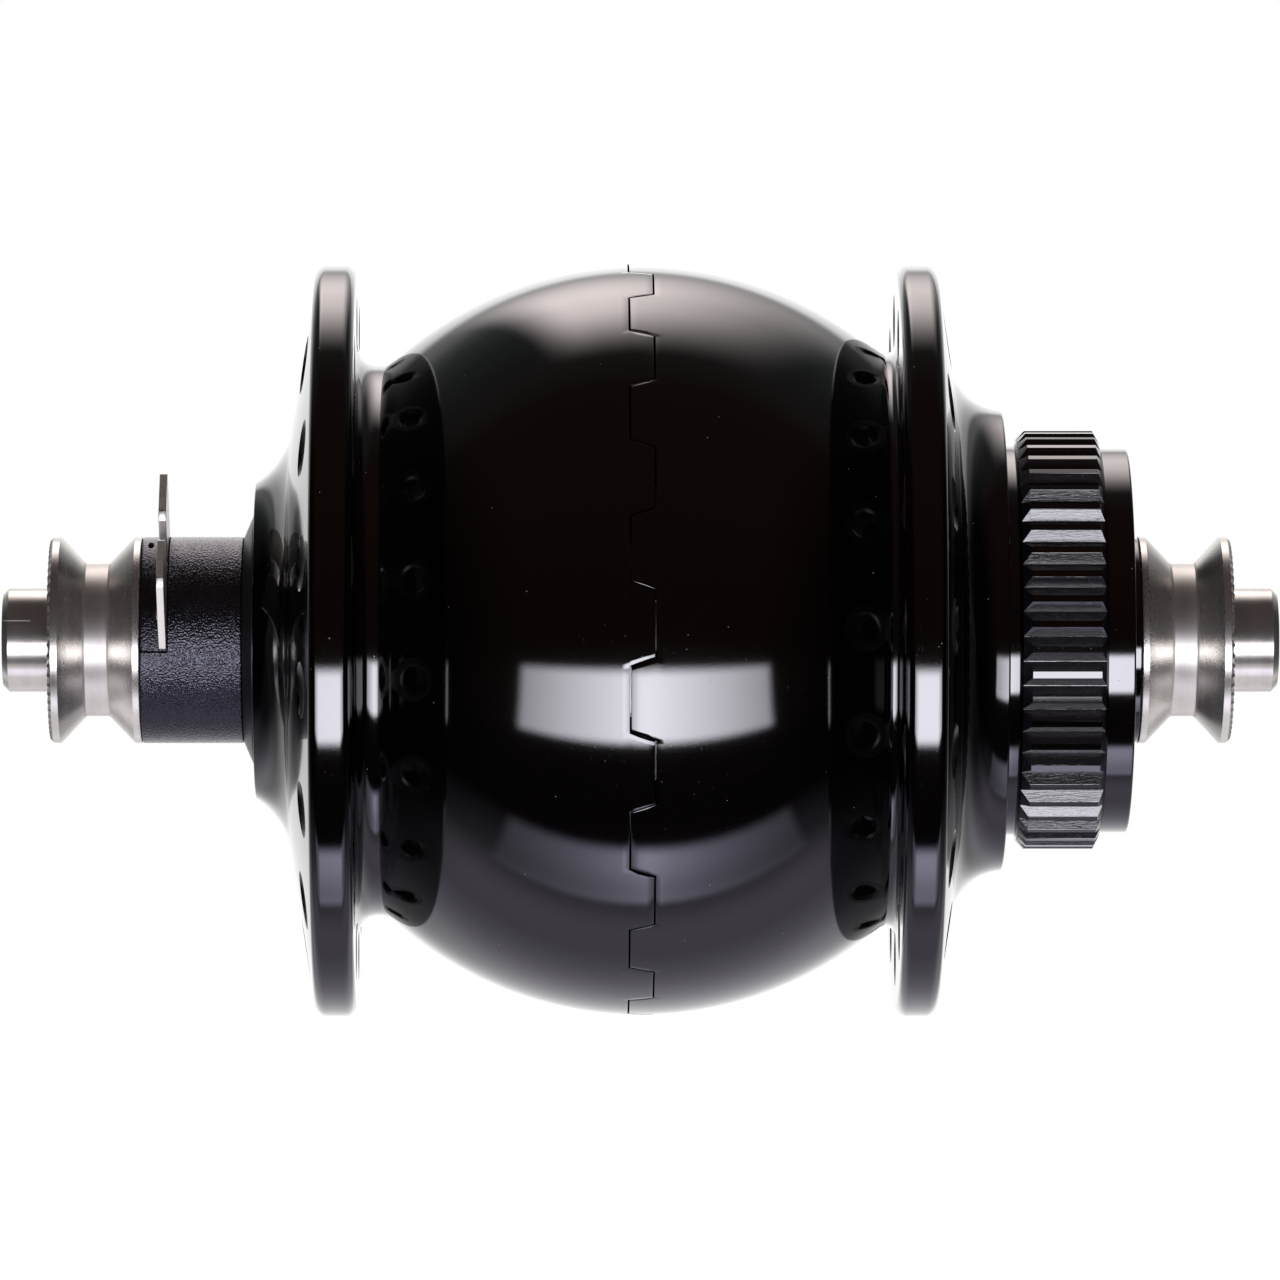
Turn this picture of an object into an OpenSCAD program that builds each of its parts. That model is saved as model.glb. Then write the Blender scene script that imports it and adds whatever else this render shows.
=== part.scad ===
// Bicycle hub dynamo for a quick-release front fork, with a splined seat for a brake disc.
// The axle lies along X and its middle is the origin. The terminals are at -X, the brake disc
// at +X. Angles round the axle are counted from -Y towards +Z.

/* [Axle] */
// Width over the two faces that the fork clamps
over_locknut_w = 100; // [98:0.5:112]
// Length of each axle end beyond its clamped face
axle_end_len = 4; // [2.5:0.25:6]
// Diameter of the axle ends that sit in the fork's slots
axle_end_d = 8.8; // [8:0.1:9.4]
// Bevel round each axle end
axle_end_bevel = 0.5; // [0.2:0.1:0.8]
// Diameter of the thread under each end cap
axle_thread_d = 10; // [9.8:0.1:11]
// Diameter of the axle in the bearings
axle_d = 12; // [11.6:0.1:12.6]
// Diameter of the axle between the bearings
axle_core_d = 14; // [13.4:0.1:15]
// Diameter of the collar that the stator is pressed against
axle_collar_d = 18; // [17:0.25:19]
// Width of that collar along the axle
axle_collar_w = 2; // [1.5:0.1:3]
// Diameter of the bore for the quick-release skewer
skewer_bore_d = 5.2; // [5:0.1:6]
// Width of the groove that carries the coil's leads
lead_groove_w = 2.8; // [2.6:0.1:3.2]
// Depth of that groove below the bearing seat
lead_groove_depth = 1.5; // [1.3:0.1:1.8]

/* [End caps] */
// Diameter of the end caps over their rims
cap_d = 17.5; // [16.5:0.25:18.5]
// Length of an end cap along the axle
cap_len = 7.8; // [7:0.1:9]
// Diameter of the waist between the rims
cap_waist_d = 12.9; // [12.4:0.1:14]
// Width of the rim at the clamped face
cap_rim_w = 0.75; // [0.5:0.05:1]
// Width of the rim at the hub's side
cap_lip_w = 0.5; // [0.3:0.05:0.8]
// Round in the corners of the waist
cap_waist_round = 0.6; // [0.3:0.1:0.8]
// Thickness of the wall round the axle end in the clamped face
cap_face_t = 2; // [1.5:0.1:3]
// Bevel round the clamped face
cap_edge_bevel = 0.4; // [0.3:0.05:0.5]
// Number of teeth in the clamped face
serration_count = 90; // [60:2:110]
// Depth of the grooves between those teeth
serration_depth = 0.25; // [0.15:0.05:0.28]
// Width of those grooves at the face
serration_groove_w = 0.3; // [0.2:0.02:0.36]
// Width of the ring of teeth
serration_w = 2.2; // [1.5:0.1:2.4]

/* [Connector] */
// Diameter of the plastic sleeve
sleeve_d = 17.5; // [16.8:0.1:18.4]
// Thickness of the terminal saddle along the axle
saddle_t = 1.6; // [1.2:0.1:2]
// Width of the saddle
saddle_w = 13.2; // [12.8:0.1:13.8]
// Width of a terminal tab
tab_w = 4.8; // [4:0.1:5]
// Thickness of a terminal tab
tab_t = 0.8; // [0.6:0.1:1]
// Distance between the middles of the two tabs
tab_pitch = 7.8; // [7.6:0.1:8.2]
// Distance from the axle's middle to the tips of the tabs
tab_tip_r = 14.3; // [12:0.1:16]
// Bevel at the corners of a tab's tip
tab_bevel = 0.7; // [0.4:0.1:1]
// Angle of the tabs above the front
tab_angle = 43; // [0:1:90]
// Diameter of a coil lead
lead_d = 1; // [0.8:0.1:1.1]

// Length of the dust seal's cone outside the hub shell
seal_cone_len = 1; // [0.8:0.1:1.4]

/* [Hub shell] */
// Largest diameter of the ball in the middle
ball_d = 63.8; // [63:0.1:66]
// Diameter of the arc that shapes the ball
ball_arc_d = 62.4; // [61:0.1:63]
// Outer diameter of the spoke flanges
flange_d = 64.1; // [62:0.1:68]
// Distance from the hub's middle to the left flange's inner face
left_flange_x = 23.7; // [23:0.1:24.4]
// Distance from the hub's middle to the right flange's inner face
right_flange_x = 21.4; // [20.8:0.1:21.8]
// Thickness of a flange at the spoke holes
flange_t = 4.25; // [3.6:0.05:4.6]
// Slope of a flange's outer face
flange_slope = 8.8; // [5:0.2:10]
// Round along the edges of a flange's rim
rim_round = 0.75; // [0.4:0.05:1]
// Round between the ball and the left flange
left_neck_round = 1.7; // [1.2:0.1:2]
// Round between the ball and the right flange
right_neck_round = 0.8; // [0.6:0.1:1.2]
// Distance from the hub's middle to the end of the left boss
left_boss_x = 32.55; // [32.2:0.05:33.2]
// Diameter of the left boss at its end
left_boss_d = 27; // [26.4:0.2:28]
// Taper of the left boss
left_boss_taper = 41; // [36:1:44]
// Round between the left boss and its flange
left_boss_round = 5; // [3:0.25:6]
// Distance from the hub's middle to the end of the right boss
right_boss_x = 30.75; // [30.2:0.05:31.2]
// Diameter of the right boss at its end
right_boss_d = 38; // [37:0.2:39]
// Taper of the right boss
right_boss_taper = 23; // [16:1:26]
// Round between the right boss and its flange
right_boss_round = 3.3; // [2:0.1:4]
// Diameter of the circle of spoke holes
spoke_circle_d = 54; // [53:0.2:56]
// Number of spoke holes in each flange
spoke_count = 16; // [14, 16, 18]
// Diameter of a spoke hole
spoke_hole_d = 2.6; // [2.4:0.1:3]
// Diameter of the countersink at each end of a spoke hole
countersink_d = 4.4; // [3.6:0.1:4.8]
// Number of teeth on each half of the shell's joint
seam_teeth = 16; // [14:1:18]
// Height of those teeth along the axle
seam_depth = 2.06; // [1.6:0.02:2.4]
// Slope of the teeth's flanks
seam_flank = 19.4; // [12:0.2:24]
// Gap along the joint
seam_gap = 0.12; // [0.08:0.02:0.2]
// Thickness of the shell over the generator's steel ring, at the joint
shell_wall = 3.94; // [3:0.02:5]
// Width of the step that the steel ring stops against inside the shell
shell_step_w = 3.5; // [2.5:0.1:4.5]
// Height of that step
shell_step_h = 1.5; // [1:0.1:2]
// Turn of the shell about the axle
shell_turn = 2.4; // [-180:0.1:180]

/* [Disc seat] */
// Diameter over the spline's teeth
spline_d = 35.5; // [35:0.1:36]
// Number of teeth
spline_teeth = 52; // [48:1:56]
// Depth of the grooves between the teeth
spline_depth = 0.75; // [0.6:0.05:0.8]
// Length of the spline
spline_len = 6.9; // [6.5:0.1:7.5]
// Bevel at the spline's inner end
spline_bevel = 0.8; // [0.5:0.05:0.9]
// Bevel at the spline's outer end
spline_nose = 0.45; // [0.3:0.05:0.8]
// Diameter of the shoulder that the disc stops against
shoulder_d = 33.2; // [33:0.1:33.8]
// Width of that shoulder
shoulder_w = 1.1; // [0.8:0.1:1.6]
// Diameter of the collar outside the spline
collar_d = 32.8; // [32.4:0.1:33.4]
// Width of that collar
collar_w = 2.45; // [2:0.05:3]
// Diameter of the bore that takes the lock ring's thread
lockring_bore_d = 29; // [28.8:0.1:29.4]
// Length of that bore
lockring_bore_len = 5.4; // [4.8:0.1:5.8]

/* [Bearings] */
// Outer diameter of the left bearing
left_bearing_d = 24; // [23.4:0.1:24.4]
// Width of the left bearing
left_bearing_w = 6; // [5.6:0.1:6.4]
// Diameter of the left bearing's balls
left_ball_d = 3.5; // [3.2:0.1:3.6]
// Number of balls in the left bearing
left_ball_count = 11; // [9:1:12]
// Outer diameter of the right bearing
right_bearing_d = 28; // [27.6:0.1:28.2]
// Width of the right bearing
right_bearing_w = 8; // [7.6:0.1:8.2]
// Diameter of the right bearing's balls
right_ball_d = 4.76; // [4.4:0.02:4.8]
// Number of balls in the right bearing
right_ball_count = 9; // [7:1:9]
// Share of a ball's diameter between the pitch circle and a race's shoulder
shoulder_share = 0.3; // [0.26:0.01:0.32]
// Share of a ball's diameter that the cage is thick
cage_share = 0.3; // [0.24:0.01:0.36]
// Thickness of a bearing seal
seal_t = 0.6; // [0.5:0.05:0.7]
// Depth of a bearing seal behind the bearing's face
seal_inset = 0.2; // [0.1:0.05:0.3]
// Thickness of the lip that stops each bearing in the shell
bearing_lip_t = 1.1; // [0.9:0.1:1.4]
// Height of that lip
bearing_lip_h = 1.2; // [1:0.1:1.4]
// Thickness of the foot that a spacer or seal puts on an inner race
race_foot_t = 1.7; // [1.4:0.1:1.8]
// Thickness of the retaining rings
circlip_t = 1; // [0.8:0.1:1.2]
// Depth of the retaining rings' grooves
circlip_groove = 0.7; // [0.5:0.05:0.8]
// Height of the retaining rings outside their grooves
circlip_h = 1.3; // [1:0.1:1.5]

/* [Generator] */
// Number of claws on each stator plate
claw_count = 13; // [9:1:14]
// Length of the stator over its two plates
stator_len = 21; // [20:0.2:22]
// Thickness of a stator plate
plate_t = 2.5; // [2:0.1:3]
// Thickness of a claw
claw_t = 2.1; // [1.8:0.1:2.4]
// Width of a claw at its root
claw_root_w = 3.9; // [3.4:0.1:4]
// Width of a claw at its tip
claw_tip_w = 2.7; // [2.2:0.1:2.8]
// Distance of a claw's tip from the far end of the stator
claw_end_gap = 1.5; // [1:0.1:2.2]
// Gap between the claws and the opposite plate's edge
claw_plate_gap = 0.5; // [0.4:0.05:0.8]
// Gap between the claws and the magnets
air_gap = 0.6; // [0.4:0.05:0.8]
// Thickness of the magnets
magnet_t = 3.3; // [3:0.1:3.5]
// Gap between neighbouring magnets
magnet_gap = 0.4; // [0.2:0.05:0.6]
// Width of the magnets along the axle
magnet_w = 20; // [18:0.5:21]
// Thickness of the steel ring behind the magnets
flux_ring_t = 1.6; // [1.4:0.05:1.8]
// Width of that ring along the axle
flux_ring_w = 22; // [21:0.25:22.5]
// Thickness of the iron core inside the coil
core_t = 3.2; // [2.8:0.1:3.6]
// Wall of the coil's bobbin
bobbin_wall = 1; // [0.8:0.1:1.3]

/* [Fits] */
// Gap between pieces that are pressed or screwed together
press_gap = 0.03; // [0.02:0.01:0.05]
// Gap between pieces that turn past each other
running_gap = 0.2; // [0.15:0.05:0.3]
// Gap between a ball and its raceways
ball_gap = 0.06; // [0.04:0.01:0.08]

/* [Hidden] */
$fn = 96;
// Overshoot of a cutting shape past the face it cuts
over = 1;

// Places along the axle
face_x = over_locknut_w / 2;
cap_x = face_x - cap_len;
axle_x = face_x + axle_end_len;
sleeve_x = left_boss_x + seal_cone_len;
left_bearing_x = left_boss_x - bearing_lip_t;
left_bearing_in = left_bearing_x - left_bearing_w;
spline_x = right_boss_x + shoulder_w;
collar_x = spline_x + spline_len;
right_end_x = collar_x + collar_w;
right_bearing_x = right_end_x - lockring_bore_len - circlip_t - circlip_groove;
right_bearing_in = right_bearing_x - right_bearing_w;
stator_x = stator_len / 2;
flux_x = flux_ring_w / 2;
wall_x = flux_x + shell_step_w;
web_x = right_flange_x - right_neck_round;
tab_x = cap_x - saddle_t;

// Radii round the axle
axle_r = axle_d / 2;
core_r = axle_core_d / 2;
cap_r = cap_d / 2;
sleeve_r = sleeve_d / 2;
ball_arc_r = ball_arc_d / 2;
ball_offset = ball_d / 2 - ball_arc_r;
flange_r = flange_d / 2;
spoke_r = spoke_circle_d / 2;
flux_out_r = ball_d / 2 - shell_wall - press_gap;
flux_in_r = flux_out_r - flux_ring_t;
magnet_in_r = flux_in_r - press_gap - magnet_t;
stator_d = 2 * (magnet_in_r - air_gap);
wall_r = flux_in_r - shell_step_h;
web_r = wall_r - 4 * shell_step_h;
left_lip_r = left_bearing_d / 2 - bearing_lip_h;
right_lip_r = right_bearing_d / 2 - bearing_lip_h;
claw_in_r = stator_d / 2 - claw_t;
plate_r = claw_in_r - claw_plate_gap;
bobbin_r = core_r + core_t + 2 * press_gap;
lead_r = axle_r - lead_d / 2 - running_gap;
lead_gap = lead_groove_w / 4;
lead_exit_r = bobbin_r + bobbin_wall + lead_d;
tab_root_r = axle_r + 1.5 * running_gap;
tab_foot = 1.3 * lead_d;
groove_floor_r = axle_r - lead_groove_depth;

// Angles round the axle
spoke_step = 360 / spoke_count;
seam_step = 360 / seam_teeth;
claw_step = 360 / claw_count;

// Turns a profile of [radius, place along the axle] about the axle
module revolve() {
    rotate([0, 90, 0])
        rotate_extrude()
            children();
}

// A ring's profile between two radii and two places along the axle
module band(r_in, r_out, x_from, x_to) {
    translate([r_in, x_from])
        square([r_out - r_in, x_to - x_from]);
}

// A plain ring on the axle
module ring(r_in, r_out, x_from, x_to) {
    revolve()
        band(r_in, r_out, x_from, x_to);
}

// Turns a shape that points to the front up round the axle
module at_angle(angle) {
    rotate([-angle, 0, 0])
        children();
}

// Lays a shape that stands on the XY plane along the axle, at a radius to the front
module along_axle(x, r = 0) {
    translate([x, -r, 0])
        rotate([0, 90, 0])
            children();
}

// Extrudes a flat shape of [place along the axle, place across] away from the axle, to the front
module outwards(r_from, r_to) {
    translate([0, -r_from, 0])
        rotate([90, 0, 0])
            linear_extrude(r_to - r_from)
                children();
}

function unit(v) = v / norm(v);

// The two points where a round of radius f touches the sides of a corner, and its centre
function corner_round(before, corner, after, f) =
    let (
        a = unit(before - corner),
        b = unit(after - corner),
        half = acos(a * b) / 2
    )
    [corner + a * f / tan(half), corner + b * f / tan(half), corner + unit(a + b) * f / sin(half)];

// A polygon of [radius, place, round], counter-clockwise, with true arcs in its rounded corners
module rounded_outline(outline) {
    count = len(outline);
    points = [for (p = outline) [p[0], p[1]]];
    before = [for (i = [0 : count - 1]) points[(i + count - 1) % count]];
    after = [for (i = [0 : count - 1]) points[(i + 1) % count]];
    rounds = [
        for (i = [0 : count - 1])
            outline[i][2] > 0
                ? corner_round(before[i], points[i], after[i], outline[i][2])
                : [points[i], points[i]]
    ];
    convex = [for (i = [0 : count - 1]) cross(points[i] - before[i], after[i] - points[i]) > 0];
    difference() {
        union() {
            polygon([for (r = rounds) each r[0] == r[1] ? [r[0]] : [r[0], r[1]]]);
            for (i = [0 : count - 1])
                if (outline[i][2] > 0 && convex[i])
                    corner_arc(rounds[i], points[i], outline[i][2]);
        }
        for (i = [0 : count - 1])
            if (outline[i][2] > 0 && !convex[i])
                corner_arc(rounds[i], points[i], outline[i][2]);
    }
}

// The sliver between a corner's arc and its chord
module corner_arc(touch, corner, f) {
    intersection() {
        translate(touch[2])
            circle(f);
        polygon([touch[0], corner, touch[1]]);
    }
}

// The hollow axle with its thread under the caps, its lead groove and its stator collar
module axle() {
    stub_x = face_x - cap_face_t;
    collar_out = stator_x + axle_collar_w;
    color("silver")
        difference() {
            revolve()
                polygon([
                    [0, -axle_x],
                    [axle_end_d / 2 - axle_end_bevel, -axle_x],
                    [axle_end_d / 2, -axle_x + axle_end_bevel],
                    [axle_end_d / 2, -stub_x],
                    [axle_thread_d / 2, -stub_x],
                    [axle_thread_d / 2, -cap_x],
                    [axle_r, -cap_x],
                    [axle_r, -left_bearing_in],
                    [core_r, -left_bearing_in],
                    [core_r, -collar_out],
                    [axle_collar_d / 2, -collar_out],
                    [axle_collar_d / 2, -stator_x],
                    [core_r, -stator_x],
                    [core_r, right_bearing_in],
                    [axle_r, right_bearing_in],
                    [axle_r, cap_x],
                    [axle_thread_d / 2, cap_x],
                    [axle_thread_d / 2, stub_x],
                    [axle_end_d / 2, stub_x],
                    [axle_end_d / 2, axle_x - axle_end_bevel],
                    [axle_end_d / 2 - axle_end_bevel, axle_x],
                    [0, axle_x]
                ]);
            along_axle(-axle_x - over)
                cylinder(d = skewer_bore_d, h = 2 * (axle_x + over));
            ring(core_r - circlip_groove, core_r + over, stator_x, stator_x + circlip_t + 2 * press_gap);
            at_angle(tab_angle)
                translate([-tab_x + tab_t, -axle_collar_d, -lead_groove_w / 2])
                    cube([tab_x - tab_t - stator_x + over, axle_collar_d - groove_floor_r, lead_groove_w]);
        }
}

// A turned steel end cap: two rims, a waist between them, and teeth in the face that the fork clamps
module end_cap() {
    flare = (cap_d - cap_waist_d) / 2;
    groove_over = 0.4;
    mouth = (1 + groove_over) * serration_groove_w / 2;
    color("gainsboro")
        difference() {
            revolve()
                rounded_outline([
                    [axle_end_d / 2 + press_gap, cap_x, 0],
                    [cap_r, cap_x, 0],
                    [cap_r, cap_x + cap_lip_w, 0],
                    [cap_r - flare, cap_x + cap_lip_w + flare, cap_waist_round],
                    [cap_r - flare, face_x - cap_rim_w - flare, cap_waist_round],
                    [cap_r, face_x - cap_rim_w, 0],
                    [cap_r, face_x - cap_edge_bevel, 0],
                    [cap_r - cap_edge_bevel, face_x, 0],
                    [axle_end_d / 2 + press_gap, face_x, 0]
                ]);
            ring(0, axle_thread_d / 2 + press_gap, cap_x - over, face_x - cap_face_t + press_gap);
            for (k = [0 : serration_count - 1])
                at_angle(k * 360 / serration_count)
                    outwards(cap_r - serration_w, cap_r + over)
                        polygon([
                            [face_x - serration_depth, 0],
                            [face_x + groove_over * serration_depth, -mouth],
                            [face_x + groove_over * serration_depth, mouth]
                        ]);
        }
}

module left_end_cap() {
    mirror([1, 0, 0])
        end_cap();
}

module right_end_cap() {
    end_cap();
}

// The room that the saddle and the tabs take in the sleeve
module saddle_room(gap, x_from, x_to) {
    at_angle(tab_angle)
        translate([x_from, -sleeve_d, -saddle_w / 2 - gap])
            cube([x_to - x_from, sleeve_d, saddle_w + 2 * gap]);
}

// The plastic sleeve between the left cap and the hub, open at one side for the terminals
module connector_sleeve() {
    color("#1c1c20")
        difference() {
            ring(axle_r + press_gap, sleeve_r, -cap_x + press_gap, -sleeve_x - press_gap);
            saddle_room(press_gap, -cap_x - over, -tab_x + tab_t + press_gap);
            at_angle(tab_angle)
                translate([-tab_x, -sleeve_r + lead_d, -tab_pitch / 2])
                    cube([tab_t + 2 * lead_d, sleeve_r, tab_pitch]);
        }
}

// The saddle that holds the two tabs, flush with the sleeve
module terminal_saddle() {
    color("#17171a")
        difference() {
            intersection() {
                ring(axle_r + press_gap, sleeve_r, -cap_x + press_gap, -tab_x + tab_t - press_gap);
                saddle_room(0, -cap_x, -tab_x + tab_t);
            }
            for (side = [-1, 1])
                terminal_tab(side, press_gap);
        }
}

// A flat tab with a bevelled tip, standing away from the axle on a foot that its lead is soldered to
module terminal_tab(side, gap = 0) {
    near = (tab_pitch - tab_w) / 2 - gap;
    far = (tab_pitch + tab_w) / 2 + gap;
    root = tab_root_r - gap;
    foot = tab_root_r + tab_foot + gap;
    at_angle(tab_angle)
        translate([-tab_x - gap, 0, 0])
            mirror([0, 0, side < 0 ? 1 : 0])
                rotate([90, 0, 90])
                    linear_extrude(tab_t + 2 * gap)
                        polygon([
                            [-root, lead_gap - lead_d / 2 - gap],
                            [-root, far],
                            [-tab_tip_r + tab_bevel, far],
                            [-tab_tip_r, far - tab_bevel],
                            [-tab_tip_r, near + tab_bevel],
                            [-tab_tip_r + tab_bevel, near],
                            [-foot, near],
                            [-foot, lead_gap - lead_d / 2 - gap]
                        ]);
}

module front_terminal_tab() {
    color("lightgray")
        terminal_tab(-1);
}

module rear_terminal_tab() {
    color("lightgray")
        terminal_tab(1);
}

// The cone that covers the left bearing and stands still beside the turning shell
module left_dust_seal() {
    foot_r = axle_r + race_foot_t;
    rim_r = left_lip_r - running_gap;
    color("#101012")
        revolve()
            polygon([
                [axle_r + press_gap, -sleeve_x],
                [sleeve_r, -sleeve_x],
                [rim_r, -left_boss_x - running_gap],
                [rim_r, -left_bearing_x - 2 * running_gap],
                [foot_r, -left_bearing_x - 2 * running_gap],
                [foot_r, -left_bearing_x - press_gap],
                [axle_r + press_gap, -left_bearing_x - press_gap]
            ]);
}

// The black spacer between the right bearing and the right cap
module right_spacer() {
    foot_r = axle_r + race_foot_t;
    foot_x = right_bearing_x + 3 * running_gap;
    color("#101012")
        revolve()
            polygon([
                [axle_r + press_gap, right_bearing_x + press_gap],
                [foot_r, right_bearing_x + press_gap],
                [foot_r, foot_x],
                [sleeve_r, foot_x],
                [sleeve_r, cap_x - press_gap],
                [axle_r + press_gap, cap_x - press_gap]
            ]);
}

// The iron tube that carries the field through the coil
module stator_core() {
    half = stator_x - plate_t - press_gap;
    color("dimgray")
        ring(core_r + press_gap, core_r + core_t, -half, half);
}

// A claw's outline, wide at the root by the plate and narrow at the tip
module claw_outline() {
    polygon([
        [-stator_x - over, -claw_root_w / 2],
        [stator_x - claw_end_gap, -claw_tip_w / 2],
        [stator_x - claw_end_gap, claw_tip_w / 2],
        [-stator_x - over, claw_root_w / 2]
    ]);
}

// A stator plate on the left, with its claws reaching to the right
module claw_plate() {
    color("slategray")
        difference() {
            union() {
                ring(core_r + press_gap, plate_r, -stator_x + press_gap, -stator_x + plate_t);
                intersection() {
                    union() {
                        ring(claw_in_r, stator_d / 2, -stator_x + press_gap, stator_x);
                        ring(plate_r - 1, stator_d / 2, -stator_x + press_gap, -stator_x + plate_t);
                    }
                    for (k = [0 : claw_count - 1])
                        at_angle(k * claw_step)
                            outwards(plate_r - 2, stator_d / 2 + over)
                                claw_outline();
                }
            }
            at_angle(tab_angle)
                for (side = [-1, 1])
                    translate([0, 0, side * lead_gap])
                        along_axle(-stator_x - over, lead_exit_r)
                            cylinder(d = lead_d + running_gap, h = plate_t + 2 * over);
        }
}

module left_claw_plate() {
    claw_plate();
}

module right_claw_plate() {
    at_angle(claw_step / 2)
        mirror([1, 0, 0])
            claw_plate();
}

// The bobbin's half length, between the two plates
function bobbin_x() = stator_x - plate_t - press_gap;

// The plastic spool of the coil
module coil_bobbin() {
    half = bobbin_x();
    color("ivory")
        difference() {
            ring(bobbin_r, plate_r - press_gap, -half, half);
            ring(bobbin_r + bobbin_wall, plate_r, -half + bobbin_wall, half - bobbin_wall);
            at_angle(tab_angle)
                for (side = [-1, 1])
                    translate([0, 0, side * lead_gap])
                        along_axle(-half - over, lead_exit_r)
                            cylinder(d = lead_d + running_gap, h = bobbin_wall + 2 * over);
        }
}

// The copper winding
module coil() {
    half = bobbin_x() - bobbin_wall - press_gap;
    color("peru")
        ring(bobbin_r + bobbin_wall + press_gap, plate_r - bobbin_wall, -half, half);
}

// A round wire along a flat list of points, bent on arcs and a little thinner in its straight runs
module wire(points, d, bend) {
    last = len(points) - 1;
    overlap = 0.08 * d;
    bends = [
        for (i = [0 : last])
            i > 0 && i < last
                ? corner_round(points[i - 1], points[i], points[i + 1], bend)
                : [points[i], points[i]]
    ];
    for (i = [0 : last - 1]) {
        run = bends[i + 1][0] - bends[i][1];
        before = i > 0 ? overlap : 0;
        after = i < last - 1 ? overlap : 0;
        translate(bends[i][1] - unit(run) * before)
            rotate([90, 0, atan2(run[1], run[0]) + 90])
                cylinder(d = 0.96 * d, h = norm(run) + before + after);
    }
    for (i = [1 : last - 1]) {
        before = points[i] - points[i - 1];
        after = points[i + 1] - points[i];
        spoke = bends[i][cross(before, after) > 0 ? 0 : 1] - bends[i][2];
        translate(bends[i][2])
            rotate([0, 0, atan2(spoke[1], spoke[0])])
                rotate_extrude(angle = acos(unit(before) * unit(after)))
                    translate([bend, 0])
                        circle(d = d);
    }
}

// A lead from the coil through the axle's groove to its tab
module coil_lead(side) {
    coil_x = -bobbin_x() + bobbin_wall + press_gap;
    turn_x = -stator_x - lead_d;
    end_x = -tab_x + tab_t + lead_d / 2 + press_gap;
    at_angle(tab_angle)
        translate([0, 0, side * lead_gap])
            mirror([0, 1, 0])
                wire([
                    [coil_x, lead_exit_r],
                    [turn_x, lead_exit_r],
                    [turn_x - axle_collar_w, lead_r],
                    [end_x, lead_r],
                    [end_x, tab_root_r + tab_foot]
                ], lead_d, 0.9 * lead_d);
}

module front_coil_lead() {
    color("firebrick")
        coil_lead(-1);
}

module rear_coil_lead() {
    color("royalblue")
        coil_lead(1);
}

// A spring steel retaining ring with its mouth open
module circlip(r_in, r_out, x_from, mouth) {
    difference() {
        ring(r_in, r_out, x_from + press_gap, x_from + circlip_t);
        translate([x_from - over, -r_out - over, -mouth / 2])
            cube([circlip_t + 2 * over, r_out + over, mouth]);
    }
}

module stator_circlip() {
    color("darkgray")
        circlip(core_r - circlip_groove + press_gap, core_r + circlip_h, stator_x + press_gap, core_r / 2);
}

module left_bearing_circlip() {
    seat_r = left_bearing_d / 2;
    color("darkgray")
        circlip(seat_r - circlip_h, seat_r + circlip_groove - press_gap, -left_bearing_in, seat_r / 2);
}

module right_bearing_circlip() {
    seat_r = right_bearing_d / 2;
    color("darkgray")
        circlip(seat_r - circlip_h, seat_r + circlip_groove - press_gap, right_bearing_x + press_gap,
            seat_r / 2);
}

// A bearing is described by [outer diameter, width, ball diameter, ball count, middle along the axle]
left_bearing = [
    left_bearing_d, left_bearing_w, left_ball_d, left_ball_count, -left_bearing_x + left_bearing_w / 2
];
right_bearing = [
    right_bearing_d, right_bearing_w, right_ball_d, right_ball_count, right_bearing_x - right_bearing_w / 2
];

function pitch_r(b) = (b[0] + axle_d) / 4;
function inner_shoulder_r(b) = pitch_r(b) - shoulder_share * b[2];
function outer_shoulder_r(b) = pitch_r(b) + shoulder_share * b[2];
function seal_seat_r(b) = outer_shoulder_r(b) + seal_t;

// The raceway that both rings share
module raceway(b) {
    revolve()
        translate([pitch_r(b), b[4]])
            circle(b[2] / 2 + ball_gap);
}

module inner_race(b) {
    half = b[1] / 2 - press_gap;
    color("silver")
        difference() {
            ring(axle_r + press_gap, inner_shoulder_r(b), b[4] - half, b[4] + half);
            raceway(b);
        }
}

module outer_race(b) {
    half = b[1] / 2 - press_gap;
    seal_room = seal_inset + seal_t + press_gap;
    color("silver")
        difference() {
            ring(outer_shoulder_r(b), b[0] / 2, b[4] - half, b[4] + half);
            raceway(b);
            for (side = [-1, 1])
                translate([side * (b[1] / 2 - seal_room / 2 + over / 2) + b[4], 0, 0])
                    ring(0, seal_seat_r(b), -(seal_room + over) / 2, (seal_room + over) / 2);
        }
}

module bearing_seals(b) {
    color("#202022")
        for (side = [-1, 1])
            translate([b[4] + side * (b[1] / 2 - seal_inset - seal_t / 2), 0, 0])
                ring(inner_shoulder_r(b) + running_gap / 2, seal_seat_r(b) - press_gap,
                    -seal_t / 2, seal_t / 2);
}

module balls(b) {
    for (k = [0 : b[3] - 1])
        at_angle(k * 360 / b[3])
            translate([b[4], -pitch_r(b), 0])
                sphere(d = b[2]);
}

// A crown cage: a ring on one side of the balls with prongs between them
module ball_cage(b, side) {
    half_t = cage_share * b[2] / 2;
    closed = b[1] / 2 - seal_inset - seal_t - running_gap / 2;
    color("tan")
        difference() {
            translate([b[4], 0, 0])
                mirror([side < 0 ? 1 : 0, 0, 0])
                    ring(pitch_r(b) - half_t, pitch_r(b) + half_t, -cage_share * b[2], closed);
            for (k = [0 : b[3] - 1])
                at_angle(k * 360 / b[3])
                    translate([b[4], -pitch_r(b), 0])
                        rotate([90, 0, 0])
                            cylinder(d = b[2] + 2 * ball_gap, h = 4 * half_t, center = true);
        }
}

module left_inner_race() {
    inner_race(left_bearing);
}

module right_inner_race() {
    inner_race(right_bearing);
}

module left_outer_race() {
    outer_race(left_bearing);
}

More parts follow.
